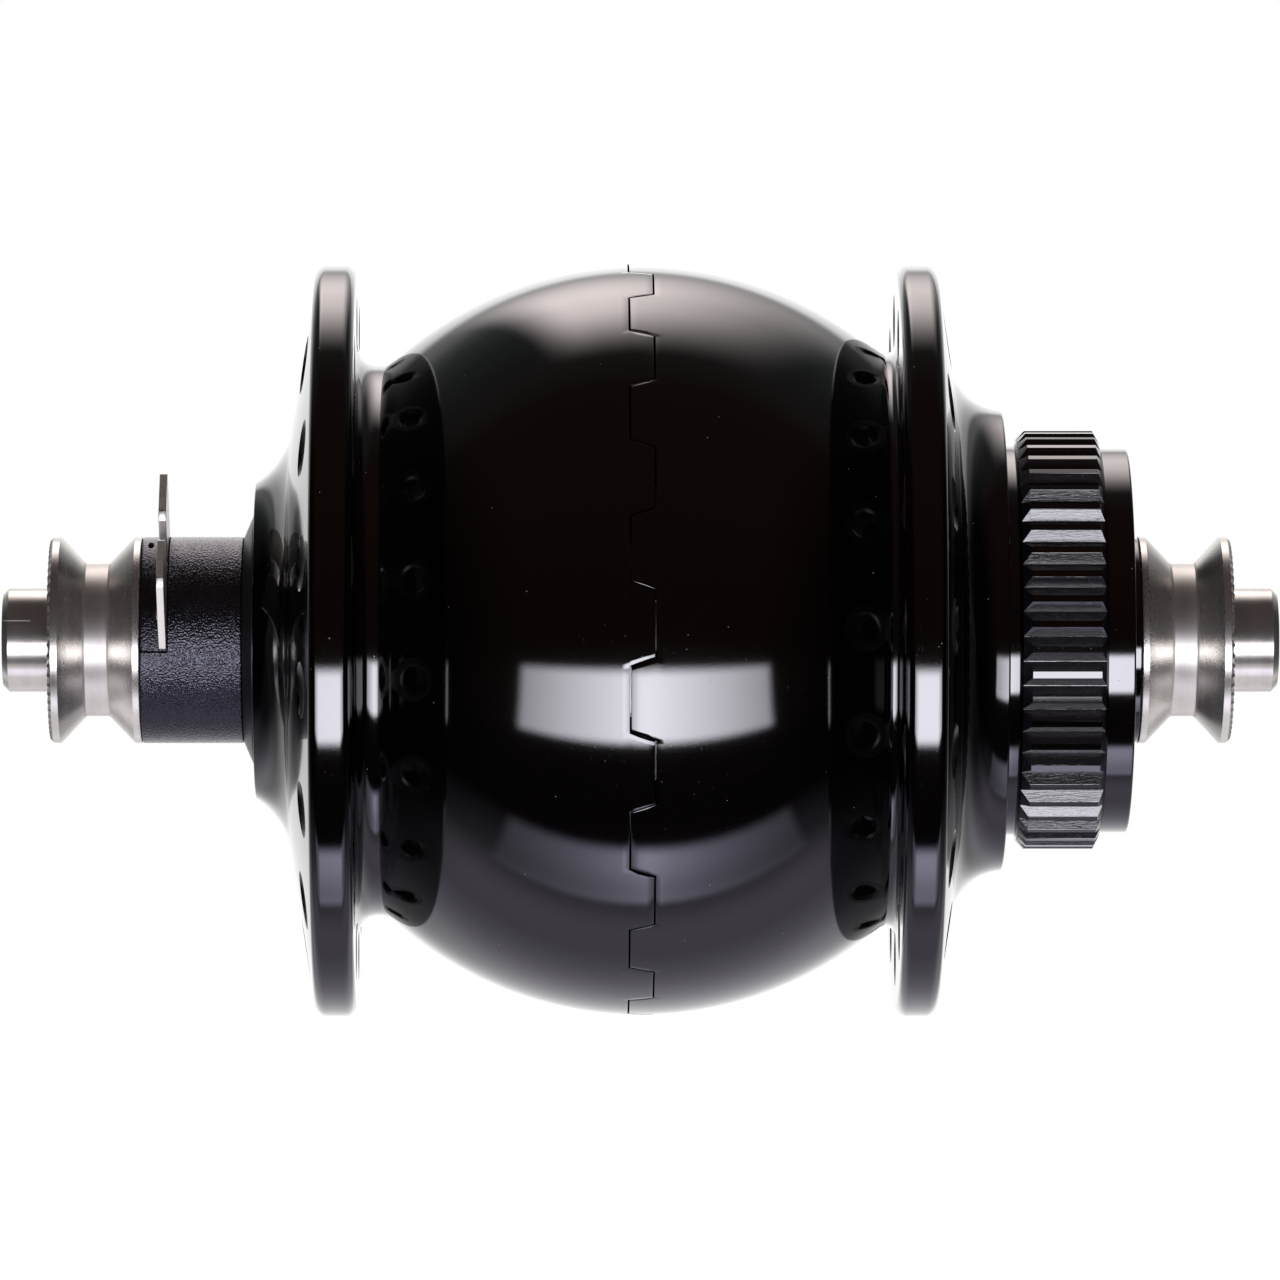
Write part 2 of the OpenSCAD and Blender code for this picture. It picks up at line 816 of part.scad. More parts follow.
module right_outer_race() {
    outer_race(right_bearing);
}

module left_bearing_seals() {
    bearing_seals(left_bearing);
}

module right_bearing_seals() {
    bearing_seals(right_bearing);
}

module left_ball_cage() {
    ball_cage(left_bearing, 1);
}

module right_ball_cage() {
    ball_cage(right_bearing, -1);
}

module left_balls() {
    color("whitesmoke")
        balls(left_bearing);
}

module right_balls() {
    color("whitesmoke")
        balls(right_bearing);
}

// A flange's outer face at a radius, from the hub's middle
function flange_face(flange_x, r) = flange_x + flange_t - tan(flange_slope) * (r - spoke_r);

// Where a boss's tapered side would meet the flange's outer face
function boss_foot(flange_x, boss_x, boss_r, taper) =
    let (
        lean = tan(taper),
        slope = tan(flange_slope),
        x = (flange_face(flange_x, boss_r) - slope * lean * boss_x) / (1 - slope * lean)
    )
    [boss_r + lean * (boss_x - x), x];

// The solid of a shell half from the hub's middle outwards: ball, neck, flange and boss
module shell_outline(flange_x, neck_round, boss_x, boss_r, taper, boss_round) {
    neck_x = flange_x - neck_round;
    neck_r = ball_offset + sqrt(pow(ball_arc_r + neck_round, 2) - pow(neck_x, 2));
    ball_touch = ball_arc_r / (ball_arc_r + neck_round);
    foot = boss_foot(flange_x, boss_x, boss_r, taper);
    intersection() {
        translate([ball_offset, 0])
            circle(ball_arc_r);
        band(0, ball_d, -seam_depth / 2, flange_x + rim_round);
    }
    difference() {
        polygon([
            [0, flange_x + rim_round],
            [0, neck_x * ball_touch],
            [ball_offset + (neck_r - ball_offset) * ball_touch, neck_x * ball_touch],
            [neck_r, neck_x],
            [neck_r, flange_x],
            [neck_r, flange_x + rim_round]
        ]);
        translate([neck_r, neck_x])
            circle(neck_round);
    }
    rounded_outline([
        [0, flange_x, 0],
        [flange_r, flange_x, rim_round],
        [flange_r, flange_face(flange_x, flange_r), rim_round],
        [foot[0], foot[1], boss_round],
        [boss_r, boss_x, 0],
        [0, boss_x, 0]
    ]);
}

// The spoke holes of a flange, with a countersink in each face
module spoke_holes(flange_x, first_angle) {
    face_x = flange_face(flange_x, spoke_r);
    sink = (countersink_d - spoke_hole_d) / 2;
    for (k = [0 : spoke_count - 1])
        at_angle(first_angle + k * spoke_step) {
            along_axle(flange_x - over, spoke_r)
                cylinder(d = spoke_hole_d, h = flange_t + 2 * over);
            along_axle(flange_x - over, spoke_r)
                cylinder(d1 = countersink_d + 2 * over, d2 = spoke_hole_d, h = sink + over);
            along_axle(face_x - sink, spoke_r)
                cylinder(d1 = spoke_hole_d, d2 = countersink_d + 2 * over, h = sink + over);
        }
}

// The right half's teeth in the joint, each side of the flanks moved by a distance
module seam_tooth_prisms(shift) {
    mean = PI * ball_d / seam_teeth / 4;
    x_tip = -seam_depth / 2 - shift;
    x_root = seam_depth / 2 + over;
    half_tip = mean + tan(seam_flank) * x_tip + shift;
    half_root = mean + tan(seam_flank) * x_root + shift;
    for (k = [0 : seam_teeth - 1])
        at_angle(shell_turn + (k + 0.5) * seam_step)
            outwards(wall_r - over, ball_d / 2 + over)
                polygon([[x_tip, -half_tip], [x_root, -half_root], [x_root, half_root], [x_tip, half_tip]]);
}

// The half of the shell with the terminals' side bearing
module left_shell() {
    half_gap = seam_gap / 2;
    color("#0c0c0e")
        difference() {
            mirror([1, 0, 0])
                difference() {
                    revolve()
                        difference() {
                            shell_outline(left_flange_x, left_neck_round, left_boss_x, left_boss_d / 2,
                                left_boss_taper, left_boss_round);
                            band(0, flux_out_r + press_gap, -seam_depth, flux_x + press_gap);
                            band(0, wall_r, 0, wall_x);
                            band(0, web_r, 0, web_x);
                            band(0, left_bearing_d / 2 + press_gap, 0, left_bearing_x + press_gap);
                            band(0, left_bearing_d / 2 + circlip_groove,
                                left_bearing_in - circlip_t - 2 * press_gap, left_bearing_in);
                            band(0, left_lip_r, 0, left_boss_x + over);
                        }
                    spoke_holes(left_flange_x, shell_turn + spoke_step / 2);
                }
            ring(0, ball_d, seam_depth / 2 - half_gap, seam_depth + over);
            seam_tooth_prisms(half_gap);
        }
}

// The half of the shell with the brake disc's splined seat
module right_shell() {
    half_gap = seam_gap / 2;
    color("#0c0c0e")
        difference() {
            union() {
                revolve()
                    difference() {
                        shell_outline(right_flange_x, right_neck_round, right_boss_x, right_boss_d / 2,
                            right_boss_taper, right_boss_round);
                        right_hollow();
                    }
                difference() {
                    revolve()
                        difference() {
                            disc_seat_outline();
                            right_hollow();
                        }
                    spline_grooves();
                }
            }
            spoke_holes(right_flange_x, shell_turn);
            difference() {
                ring(wall_r, ball_d, -seam_depth - over, seam_depth / 2 + half_gap);
                seam_tooth_prisms(-half_gap);
            }
        }
}

// The hollow of the right half: flux ring, stator, bearing, retaining ring and lock ring thread
module right_hollow() {
    band(-over, flux_out_r + press_gap, -seam_depth - over, flux_x + press_gap);
    band(-over, wall_r, 0, wall_x);
    band(-over, web_r, 0, web_x);
    band(-over, right_lip_r, 0, right_bearing_in + over);
    band(-over, right_bearing_d / 2 + press_gap, right_bearing_in - press_gap, right_end_x + over);
    band(-over, right_bearing_d / 2 + circlip_groove, right_bearing_x + press_gap,
        right_bearing_x + circlip_t + 3 * press_gap);
    band(-over, lockring_bore_d / 2, right_end_x - lockring_bore_len, right_end_x + over);
}

// The shoulder, spline and collar that the brake disc slides over
module disc_seat_outline() {
    polygon([
        [0, right_boss_x - over],
        [shoulder_d / 2, right_boss_x - over],
        [shoulder_d / 2, spline_x],
        [spline_d / 2 - spline_bevel, spline_x],
        [spline_d / 2, spline_x + spline_bevel],
        [spline_d / 2, collar_x - spline_nose],
        [spline_d / 2 - spline_bevel, collar_x],
        [collar_d / 2, collar_x],
        [collar_d / 2, right_end_x],
        [0, right_end_x]
    ]);
}

// The V grooves between the spline's teeth
module spline_grooves() {
    root_r = spline_d / 2 - spline_depth;
    for (k = [0 : spline_teeth - 1])
        at_angle(shell_turn + k * 360 / spline_teeth)
            translate([spline_x - shoulder_w / 2, 0, 0])
                rotate([90, 0, 90])
                    linear_extrude(spline_len + shoulder_w)
                        polygon([
                            [-root_r, 0],
                            [-root_r - spline_depth - over, spline_depth + over],
                            [-root_r - spline_depth - over, -spline_depth - over]
                        ]);
}

// The steel ring that both shell halves are pressed on
module flux_ring() {
    color("gray")
        ring(flux_in_r, flux_out_r, -flux_x, flux_x);
}

// One magnet for each claw of both plates
module magnets() {
    count = 2 * claw_count;
    color("#3a3a3c")
        difference() {
            ring(magnet_in_r, magnet_in_r + magnet_t, -magnet_w / 2, magnet_w / 2);
            for (k = [0 : count - 1])
                at_angle((k + 0.5) * 360 / count)
                    outwards(magnet_in_r - over, magnet_in_r + magnet_t + over)
                        square([magnet_w + over, magnet_gap], center = true);
        }
}

axle();
left_end_cap();
right_end_cap();
connector_sleeve();
terminal_saddle();
front_terminal_tab();
rear_terminal_tab();
left_dust_seal();
right_spacer();
stator_core();
left_claw_plate();
right_claw_plate();
coil_bobbin();
coil();
front_coil_lead();
rear_coil_lead();
stator_circlip();
left_inner_race();
right_inner_race();
left_shell();
right_shell();
flux_ring();
magnets();
left_outer_race();
right_outer_race();
left_bearing_seals();
right_bearing_seals();
left_bearing_circlip();
right_bearing_circlip();
left_ball_cage();
left_balls();
right_ball_cage();
right_balls();
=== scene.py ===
import math

import bpy
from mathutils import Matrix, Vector


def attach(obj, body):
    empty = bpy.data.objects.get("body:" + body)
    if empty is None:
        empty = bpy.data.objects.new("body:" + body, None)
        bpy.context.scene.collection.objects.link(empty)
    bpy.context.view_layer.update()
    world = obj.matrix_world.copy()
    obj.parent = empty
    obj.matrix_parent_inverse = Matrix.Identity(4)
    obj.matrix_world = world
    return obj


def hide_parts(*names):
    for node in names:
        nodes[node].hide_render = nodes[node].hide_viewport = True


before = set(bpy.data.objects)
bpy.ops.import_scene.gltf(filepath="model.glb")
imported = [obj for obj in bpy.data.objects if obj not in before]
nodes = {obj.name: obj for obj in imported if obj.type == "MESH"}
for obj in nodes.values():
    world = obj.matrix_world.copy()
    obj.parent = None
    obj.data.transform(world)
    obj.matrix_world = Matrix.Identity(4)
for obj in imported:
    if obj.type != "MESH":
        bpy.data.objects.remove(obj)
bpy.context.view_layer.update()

# Axle: a hollow steel bar, turned and threaded, with a bore for the skewer. Its two bare ends stand
# out of the caps and drop into the fork's slots. Fine rings from the lathe tool run round it, and
# the fork has scratched the left end.
mm = 0.001


class Socket:
    """A socket of a node tree that Python expressions can work with."""

    def __init__(self, tree, socket):
        self.tree = tree
        self.socket = socket

    def node(self, kind, settings, sockets, output=0):
        """Adds any node: its settings first, then the values or links of its sockets."""
        made = self.tree.nodes.new(kind)
        for name, value in settings.items():
            if name == "stops":
                ramp = made.color_ramp.elements
                while len(ramp) < len(value):
                    ramp.new(1.0)
                for stop, (place, colour) in zip(ramp, value):
                    stop.position = place
                    stop.color = colour
            else:
                setattr(made, name, value)
        for name, value in sockets.items():
            put(made.inputs[name], value)
        return Socket(self.tree, made.outputs[output])

    def __add__(self, other):
        return maths("ADD", self, other)

    def __radd__(self, other):
        return maths("ADD", other, self)

    def __sub__(self, other):
        return maths("SUBTRACT", self, other)

    def __rsub__(self, other):
        return maths("SUBTRACT", other, self)

    def __mul__(self, other):
        return maths("MULTIPLY", self, other)

    def __rmul__(self, other):
        return maths("MULTIPLY", other, self)

    def __truediv__(self, other):
        return maths("DIVIDE", self, other)

    def __rtruediv__(self, other):
        return maths("DIVIDE", other, self)

    def __pow__(self, other):
        return maths("POWER", self, other)

    def __rpow__(self, other):
        return maths("POWER", other, self)

    def __abs__(self):
        return maths("ABSOLUTE", self)


def put(socket, value):
    """Links a socket, or sets its constant value."""
    if isinstance(value, Socket):
        value.tree.links.new(value.socket, socket)
    else:
        socket.default_value = value


def maths(operation, first, second=0.0):
    """Adds a Math node, of which at least one input is a socket."""
    linked = first if isinstance(first, Socket) else second
    return linked.node("ShaderNodeMath", {"operation": operation}, {0: first, 1: second})


def new_finish(name, **constants):
    """A new material with the shader's constant values set, and the place on the piece."""
    material = bpy.data.materials.new(name)
    material.use_nodes = True
    shader = material.node_tree.nodes["Principled BSDF"]
    for socket, value in constants.items():
        shader.inputs[socket.replace("_", " ")].default_value = value
    coords = material.node_tree.nodes.new("ShaderNodeTexCoord")
    return material, shader, Socket(material.node_tree, coords.outputs["Object"])


def noise(place, scale, detail=2.0, roughness=0.5):
    """Cloudy noise from 0 to 1 with about scale cells per metre."""
    sockets = {"Vector": place, "Scale": scale, "Detail": detail, "Roughness": roughness}
    return place.node("ShaderNodeTexNoise", {}, sockets, "Fac")


def fade(value, start, end, low=0.0, high=1.0):
    """Goes smoothly from low to high as the value goes from start to end."""
    return value.node(
        "ShaderNodeMapRange", {"interpolation_type": "SMOOTHSTEP"},
        {"Value": value, "From Min": start, "From Max": end, "To Min": low, "To Max": high},
    )


def mixed(amount, first, second):
    """Mixes two colours, which a Mix node takes on its sockets 6 and 7 and gives on its output 2."""
    return amount.node("ShaderNodeMix", {"data_type": "RGBA"}, {0: amount, 6: first, 7: second}, 2)


def bumped(height, distance):
    """The normal of a surface raised by a height from 0 to 1 times a distance."""
    return height.node("ShaderNodeBump", {}, {"Distance": distance, "Height": height})


def split(place):
    """A place's three parts: along the axle, away from the camera and up."""
    return [place.node("ShaderNodeSeparateXYZ", {}, {0: place}, part) for part in "XYZ"]


def along_and_out(place):
    """Where a point is along the axle, and how far out from it."""
    along, y, z = split(place)
    return along, (y * y + z * z) ** 0.5


def lathe_place(along, out):
    """The place on a turned piece's profile, which is the same all round."""
    return along.node("ShaderNodeCombineXYZ", {}, {0: along, 1: out})


def turned_steel(name, colour, roughness, scratch=None, coarse_r=0.0):
    """Steel from the lathe: fine tool rings, a peppery grain, a little grime and maybe one scratch.

    A scratch is its start and end along the axle and its height. Within coarse_r the cut is coarser.
    """
    finish, shader, place = new_finish(name, Metallic=0.9, Specular_Tint=(0.7, 0.7, 0.7, 1))
    along, out = along_and_out(place)
    profile = lathe_place(along, out)
    rings = noise(profile, 9000.0, 3.0, 0.6)
    broad = noise(profile, 900.0)
    grain = noise(place, 7000.0, 2.0, 0.6)
    grime = noise(place, 260.0, 3.0, 0.6)
    dark = tuple(c * 0.84 for c in colour) + (1.0,)
    steel = mixed(fade(grime * 0.6 + broad * 0.4, 0.35, 0.65), dark, colour + (1.0,))
    rough = roughness + (grain - 0.5) * 0.06 + (broad - 0.5) * 0.1
    rough = rough + fade(out, (coarse_r + 0.1) * mm, coarse_r * mm) * 0.13
    if scratch:
        start, end, height = (v * mm for v in scratch)
        _, y, z = split(place)
        cut = (
            fade(abs(z - height), 0.06 * mm, 0.02 * mm) * fade(along, start, start + 0.1 * mm)
            * fade(along, end, end - 0.1 * mm) * fade(y, 0.0, -0.1 * mm)
        )
        steel = mixed(cut, steel, (0.95, 0.92, 0.88, 1))
        rough = rough + cut * 0.45
    put(shader.inputs["Base Color"], steel)
    put(shader.inputs["Roughness"], rough)
    put(shader.inputs["Normal"], bumped(rings * 0.9 + grain * 0.1, 0.003 * mm))
    return finish


def dress(piece, finish):
    """Puts a finish on a piece."""
    piece.data.materials.clear()
    piece.data.materials.append(finish)


fork_scratch = (-53.9, -51.5, 1.63)
axle_steel = turned_steel("axle_steel", (0.605, 0.585, 0.55), 0.23, fork_scratch)
dress(nodes["axle"], axle_steel)

# Stator: a soft iron tube on the axle and two claw plates pressed from sheet iron, whose claws reach
# past each other round the coil. A spring steel ring in a groove of the axle holds them.


def clouded(name, grain, dark, pale, smoothest, spread, relief=None, depth=0.0, **constants):
    """A finish that clouds between two colours, rougher where it is paler, with maybe a fine relief.

    The grain is the noise's scale, detail and roughness. The relief gives a height for a place.
    """
    finish, shader, place = new_finish(name, **constants)
    cloud = noise(place, *grain)
    put(shader.inputs["Base Color"], mixed(cloud, dark, pale))
    put(shader.inputs["Roughness"], smoothest + cloud * spread)
    if relief:
        put(shader.inputs["Normal"], bumped(relief(place), depth * mm))
    return finish


stator_iron = clouded(
    "stator_iron", (700.0, 4.0, 0.6), (0.22, 0.22, 0.225, 1), (0.36, 0.355, 0.35, 1), 0.35, 0.25,
    Metallic=1.0,
)
for name in ("stator_core", "left_claw_plate", "right_claw_plate"):
    dress(nodes[name], stator_iron)

spring_steel = clouded(
    "spring_steel", (2600.0, 3.0, 0.7), (0.1, 0.1, 0.11, 1), (0.24, 0.235, 0.23, 1), 0.32, 0.2,
    Metallic=1.0,
)
dress(nodes["stator_circlip"], spring_steel)

# Coil: enamelled copper wire wound on a spool of natural nylon between the plates. Its two leads, in
# red and blue sleeves, run out under the bearing in a groove of the axle.
bobbin_plastic = clouded(
    "bobbin_plastic", (400.0, 3.0), (0.72, 0.67, 0.54, 1), (0.8, 0.76, 0.66, 1), 0.4, 0.15,
    Subsurface_Weight=0.05,
)
dress(nodes["coil_bobbin"], bobbin_plastic)

wire_d = 0.6 * mm
copper_winding, shader, place = new_finish("copper_winding", Metallic=1.0)
turns = maths("SINE", split(place)[0] * (2 * math.pi / wire_d))
enamel = mixed(noise(place, 900.0), (0.5, 0.2, 0.08, 1), (0.66, 0.31, 0.14, 1))
put(shader.inputs["Base Color"], enamel)
put(shader.inputs["Roughness"], 0.28 + noise(place, 1500.0) * 0.14)
put(shader.inputs["Normal"], bumped(turns * 0.5 + 0.5, 0.1 * mm))
dress(nodes["coil"], copper_winding)

for name, deep, pale in (
    ("front_coil_lead", (0.42, 0.03, 0.025, 1), (0.55, 0.05, 0.035, 1)),
    ("rear_coil_lead", (0.035, 0.075, 0.34, 1), (0.05, 0.11, 0.46, 1)),
):
    dress(nodes[name], clouded(name + "_sleeve", (800.0, 3.0), deep, pale, 0.38, 0.15))

# Bearings: sealed ball bearings, their rings pressed on the axle and into the shell. The rings and
# balls are ground steel, the cages moulded nylon, and the seals rubber on a steel washer.
bearing_steel, shader, place = new_finish("bearing_steel", Metallic=1.0)
ground = noise(lathe_place(*along_and_out(place)), 12000.0)
bright = mixed(noise(place, 500.0), (0.62, 0.62, 0.63, 1), (0.72, 0.72, 0.72, 1))
put(shader.inputs["Base Color"], bright)
put(shader.inputs["Roughness"], 0.1 + ground * 0.14)
cage_nylon = clouded(
    "cage_nylon", (900.0, 3.0), (0.5, 0.4, 0.24, 1), (0.62, 0.52, 0.34, 1), 0.42, 0.12,
)
seal_rubber = clouded(
    "seal_rubber", (650.0, 4.0, 0.6), (0.008, 0.008, 0.009, 1), (0.018, 0.018, 0.019, 1), 0.32, 0.14,
    relief=lambda place: noise(place, 6000.0), depth=0.006,
)
for side in ("left_", "right_"):
    for name in ("inner_race", "outer_race", "balls"):
        dress(nodes[side + name], bearing_steel)
    dress(nodes[side + "ball_cage"], cage_nylon)
    dress(nodes[side + "bearing_seals"], seal_rubber)

# Rotor: a turned ring of mild steel that carries the field behind the magnets, which are curved and
# bonded inside it. Both shell halves are pressed over it.
ring_steel = turned_steel("ring_steel", (0.42, 0.42, 0.43), 0.3)
dress(nodes["flux_ring"], ring_steel)

magnet = clouded(
    "magnet", (1800.0, 4.0, 0.7), (0.1, 0.1, 0.105, 1), (0.2, 0.2, 0.205, 1), 0.35, 0.25,
    Metallic=0.6,
)
dress(nodes["magnets"], magnet)

# Shell: two halves turned from aluminium, polished and anodised black. They meet at the hub's middle
# in a castellated joint and are pressed on the steel ring. The spoke holes are drilled and sunk, and
# the grooves of the brake disc's seat on the right half are milled and stay satin.
ball_arc_r, ball_offset = 31.2, 0.7
flange_r, rim_round = 32.04, 0.95
flange_slope = math.tan(math.radians(8.8))
left_flange_x, left_flange_t = 23.95, 4.2
right_flange_x, right_flange_t = 21.6, 4.1
left_boss_x, right_boss_x, boss_edge = 32.55, 30.6, 0.2
spoke_count, spoke_r, hole_r, sink_r = 16, 27.0, 1.3, 2.33
shell_turn = 2.4
seam_teeth, seam_root, seam_tip, seam_edge = 16, 1.09, -0.97, 0.06
seam_mean, seam_lean = 3.072, math.tan(math.radians(19.4))
seam_columns, tooth_columns = 30, 8
ring_pocket_r, ring_pocket_x = 27.96, 11.03
ring_step_r, ring_step_x = 24.83, 14.5
stator_room_r, stator_room_x = 18.83, 20.6
left_bearing_r, left_clip_r, left_lip_r = 12.03, 12.7, 10.8
left_bearing_x, left_clip_x, left_clip_end_x = 31.48, 25.45, 24.39
right_bearing_r, right_clip_r, right_stop_r = 14.03, 14.7, 12.8
right_bearing_x, right_clip_x, right_clip_end_x = 26.07, 34.13, 35.19
spline_teeth, spline_turn = 52, 0.95
spline_x, spline_end_x, spline_r = 31.76, 38.74, 17.75
collar_r, groove_r, flank_r = 16.6, 17.0, 17.69
same_place = 1e-3


def eased(outline, count=6):
    """An outline of (along, out, round) with its rounded corners turned into arcs."""
    points = []
    for i, (x, r, ease) in enumerate(outline):
        corner = Vector((x, r))
        if ease <= 0:
            points.append((x, r))
            continue
        a = (Vector(outline[i - 1][:2]) - corner).normalized()
        b = (Vector(outline[(i + 1) % len(outline)][:2]) - corner).normalized()
        half = a.angle(b) / 2
        centre = corner + (a + b).normalized() * (ease / math.sin(half))
        first = corner + a * (ease / math.tan(half)) - centre
        sweep = first.angle_signed(corner + b * (ease / math.tan(half)) - centre)
        for step in range(count + 1):
            lean = -sweep * step / count
            points.append((
                centre.x + first.x * math.cos(lean) - first.y * math.sin(lean),
                centre.y + first.x * math.sin(lean) + first.y * math.cos(lean),
            ))
    return points


def round_axle(x, r, turn):
    """A place by its distance along the axle and out from it, both in millimetres, at an angle."""
    return x * mm, -r * mm * math.cos(turn), r * mm * math.sin(turn)


def turned(name, outline, steps, start=0.0):
    """A closed outline of (along, out) in millimetres, spun about the axle."""
    bpy.ops.object.select_all(action="DESELECT")
    bpy.ops.mesh.primitive_circle_add(vertices=len(outline), radius=mm)
    piece = bpy.context.object
    piece.name = name
    for vertex, (x, r) in zip(piece.data.vertices, outline):
        vertex.co = round_axle(x, r, math.radians(start))
    bpy.ops.object.mode_set(mode="EDIT")
    bpy.ops.mesh.select_all(action="SELECT")
    bpy.ops.mesh.spin(steps=steps, angle=2 * math.pi, center=(0, 0, 0), axis=(1, 0, 0))
    bpy.ops.mesh.select_all(action="SELECT")
    bpy.ops.mesh.remove_doubles(threshold=0.0004 * mm)
    bpy.ops.mesh.delete_loose(use_verts=True, use_edges=True, use_faces=False)
    bpy.ops.mesh.select_all(action="SELECT")
    bpy.ops.mesh.normals_make_consistent(inside=False)
    bpy.ops.object.mode_set(mode="OBJECT")
    return piece


def degrees_round(co):
    """A point's angle round the axle, from the front over the top."""
    return math.degrees(math.atan2(co[2], -co[1]))


def column(co, start, step):
    """The number of the column that a point of a spun piece is in."""
    return round(((degrees_round(co) - start) % 360) / step)


def only(piece):
    """Selects one piece alone."""
    bpy.ops.object.select_all(action="DESELECT")
    piece.select_set(True)
    bpy.context.view_layer.objects.active = piece


def start_selection(kind):
    """Deselects the active mesh, so that its faces or edges can be selected in code."""
    bpy.ops.object.mode_set(mode="EDIT")
    bpy.ops.mesh.select_mode(type=kind)
    bpy.ops.mesh.select_all(action="DESELECT")
    bpy.ops.object.mode_set(mode="OBJECT")


def cut_by(piece, tool, operation="DIFFERENCE"):
    """Cuts a piece by a tool, which is then gone."""
    only(piece)
    cut = piece.modifiers.new("cut", "BOOLEAN")
    cut.operation = operation
    cut.solver = "EXACT"
    cut.object = tool
    bpy.ops.object.modifier_apply(modifier=cut.name)
    bpy.data.objects.remove(tool, do_unlink=True)


def in_place(piece, node, finish, body, angle=30):
    """Smooths a modelled piece, dresses it and lets it stand for its CAD node."""
    only(piece)
    bpy.ops.object.shade_smooth_by_angle(angle=math.radians(angle))
    even = piece.modifiers.new("even", "WEIGHTED_NORMAL")
    even.keep_sharp = True
    bpy.ops.object.modifier_apply(modifier=even.name)
    dress(piece, finish)
    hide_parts(node)
    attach(piece, body)


def ball_r(x):
    """The ball's radius at a place along the axle."""
    return ball_offset + math.sqrt(ball_arc_r ** 2 - x ** 2)


def half_outline(flange_x, flange_t, neck_round, boss_x, boss_r, taper, boss_round, inside):
    """A shell half's outline from the joint over the ball, the flange and the boss, and back inside."""
    neck_x = flange_x - neck_round
    neck_r = ball_offset + math.sqrt((ball_arc_r + neck_round) ** 2 - neck_x ** 2)
    touch = neck_x * ball_arc_r / (ball_arc_r + neck_round)
    ball_steps, neck_steps = 30, 8
    points = []
    for i in range(ball_steps + 1):
        x = seam_root + (touch - seam_root) * i / ball_steps
        points.append((x, ball_r(x)))
    first = math.atan2(points[-1][1] - neck_r, points[-1][0] - neck_x)
    for i in range(1, neck_steps + 1):
        lean = first * (1 - i / neck_steps)
        points.append((neck_x + neck_round * math.cos(lean), neck_r + neck_round * math.sin(lean)))
    lean = math.tan(math.radians(taper))
    face_x = flange_x + flange_t
    foot_x = (
        (face_x - flange_slope * (boss_r - spoke_r) - flange_slope * lean * boss_x)
        / (1 - flange_slope * lean)
    )
    foot_r = boss_r + lean * (boss_x - foot_x)
    rim_x = face_x - flange_slope * (flange_r - spoke_r)
    land_out, land_in = 3.0, 3.2
    rest = [
        (flange_x, spoke_r + land_out, 0),
        (flange_x, flange_r, rim_round),
        (rim_x, flange_r, rim_round),
        (face_x - flange_slope * land_out, spoke_r + land_out, 0),
        (face_x + flange_slope * land_in, spoke_r - land_in, 0),
        (foot_x, foot_r, boss_round),
        (boss_x, boss_r, boss_edge),
    ]
    return points + eased(rest + [(x, r, 0) for x, r in inside], 8)


def shell_half(name, outline, side):
    """Spins a half, draws its seam teeth out of the end wall and breaks their edges."""
    step = 360 / (seam_teeth * seam_columns)
    half = turned(name, [(side * x, r) for x, r in outline], seam_teeth * seam_columns, shell_turn)
    mesh = half.data
    middle = seam_columns // 2 if side > 0 else 0

    def spot_of(co):
        """How many columns a point is from the middle of its tooth."""
        turn = (degrees_round(co) - shell_turn) / step
        return (turn - middle + seam_columns / 2) % seam_columns - seam_columns / 2

    start_selection("FACE")
    for face in mesh.polygons:
        corners = [mesh.vertices[i].co for i in face.vertices]
        if all(abs(side * c.x / mm - seam_root) < same_place for c in corners):
            face.select = all(abs(spot_of(c)) < tooth_columns + 0.1 for c in corners)
    bpy.ops.object.mode_set(mode="EDIT")
    lifts = 3
    rise = side * (seam_tip - seam_root) / lifts * mm
    for _ in range(lifts):
        bpy.ops.mesh.extrude_region_move(TRANSFORM_OT_translate={"value": (rise, 0, 0)})
    bpy.ops.object.mode_set(mode="OBJECT")

    outer, flank = set(), set()
    for vertex in mesh.vertices:
        x = side * vertex.co.x / mm
        if x > seam_root + same_place:
            continue
        spot = round(spot_of(vertex.co))
        on_ball = math.hypot(vertex.co.y, vertex.co.z) / mm > ring_pocket_r + 1
        out = ball_r(x) if on_ball else ring_pocket_r
        if on_ball:
            outer.add(vertex.index)
        if abs(spot) <= tooth_columns:
            number = column(vertex.co, shell_turn, step)
            wide = math.degrees(math.asin((seam_mean + seam_lean * x) / out))
            turn = shell_turn + (number - spot) * step + wide * spot / tooth_columns
            vertex.co.yz = round_axle(0, out, math.radians(turn))[1:]
            if abs(spot) == tooth_columns:
                flank.add(vertex.index)

    start_selection("EDGE")
    for edge in mesh.edges:
        a, b = edge.vertices
        if a in outer and b in outer:
            xa, xb = (side * mesh.vertices[i].co.x / mm for i in (a, b))
            on_root = abs(xa - seam_root) < same_place and abs(xb - seam_root) < same_place
            on_tip = abs(xa - seam_tip) < same_place and abs(xb - seam_tip) < same_place
            centre = (mesh.vertices[a].co + mesh.vertices[b].co) / 2
            between = abs(spot_of(centre)) > tooth_columns + 0.45
            on_flank = a in flank and b in flank and abs(xa - xb) > same_place
            edge.select = on_tip or on_flank or (on_root and between)
    bpy.ops.object.mode_set(mode="EDIT")
    bpy.ops.mesh.bevel(offset=seam_edge * mm, segments=2, affect="EDGES")
    bpy.ops.object.mode_set(mode="OBJECT")
    return half


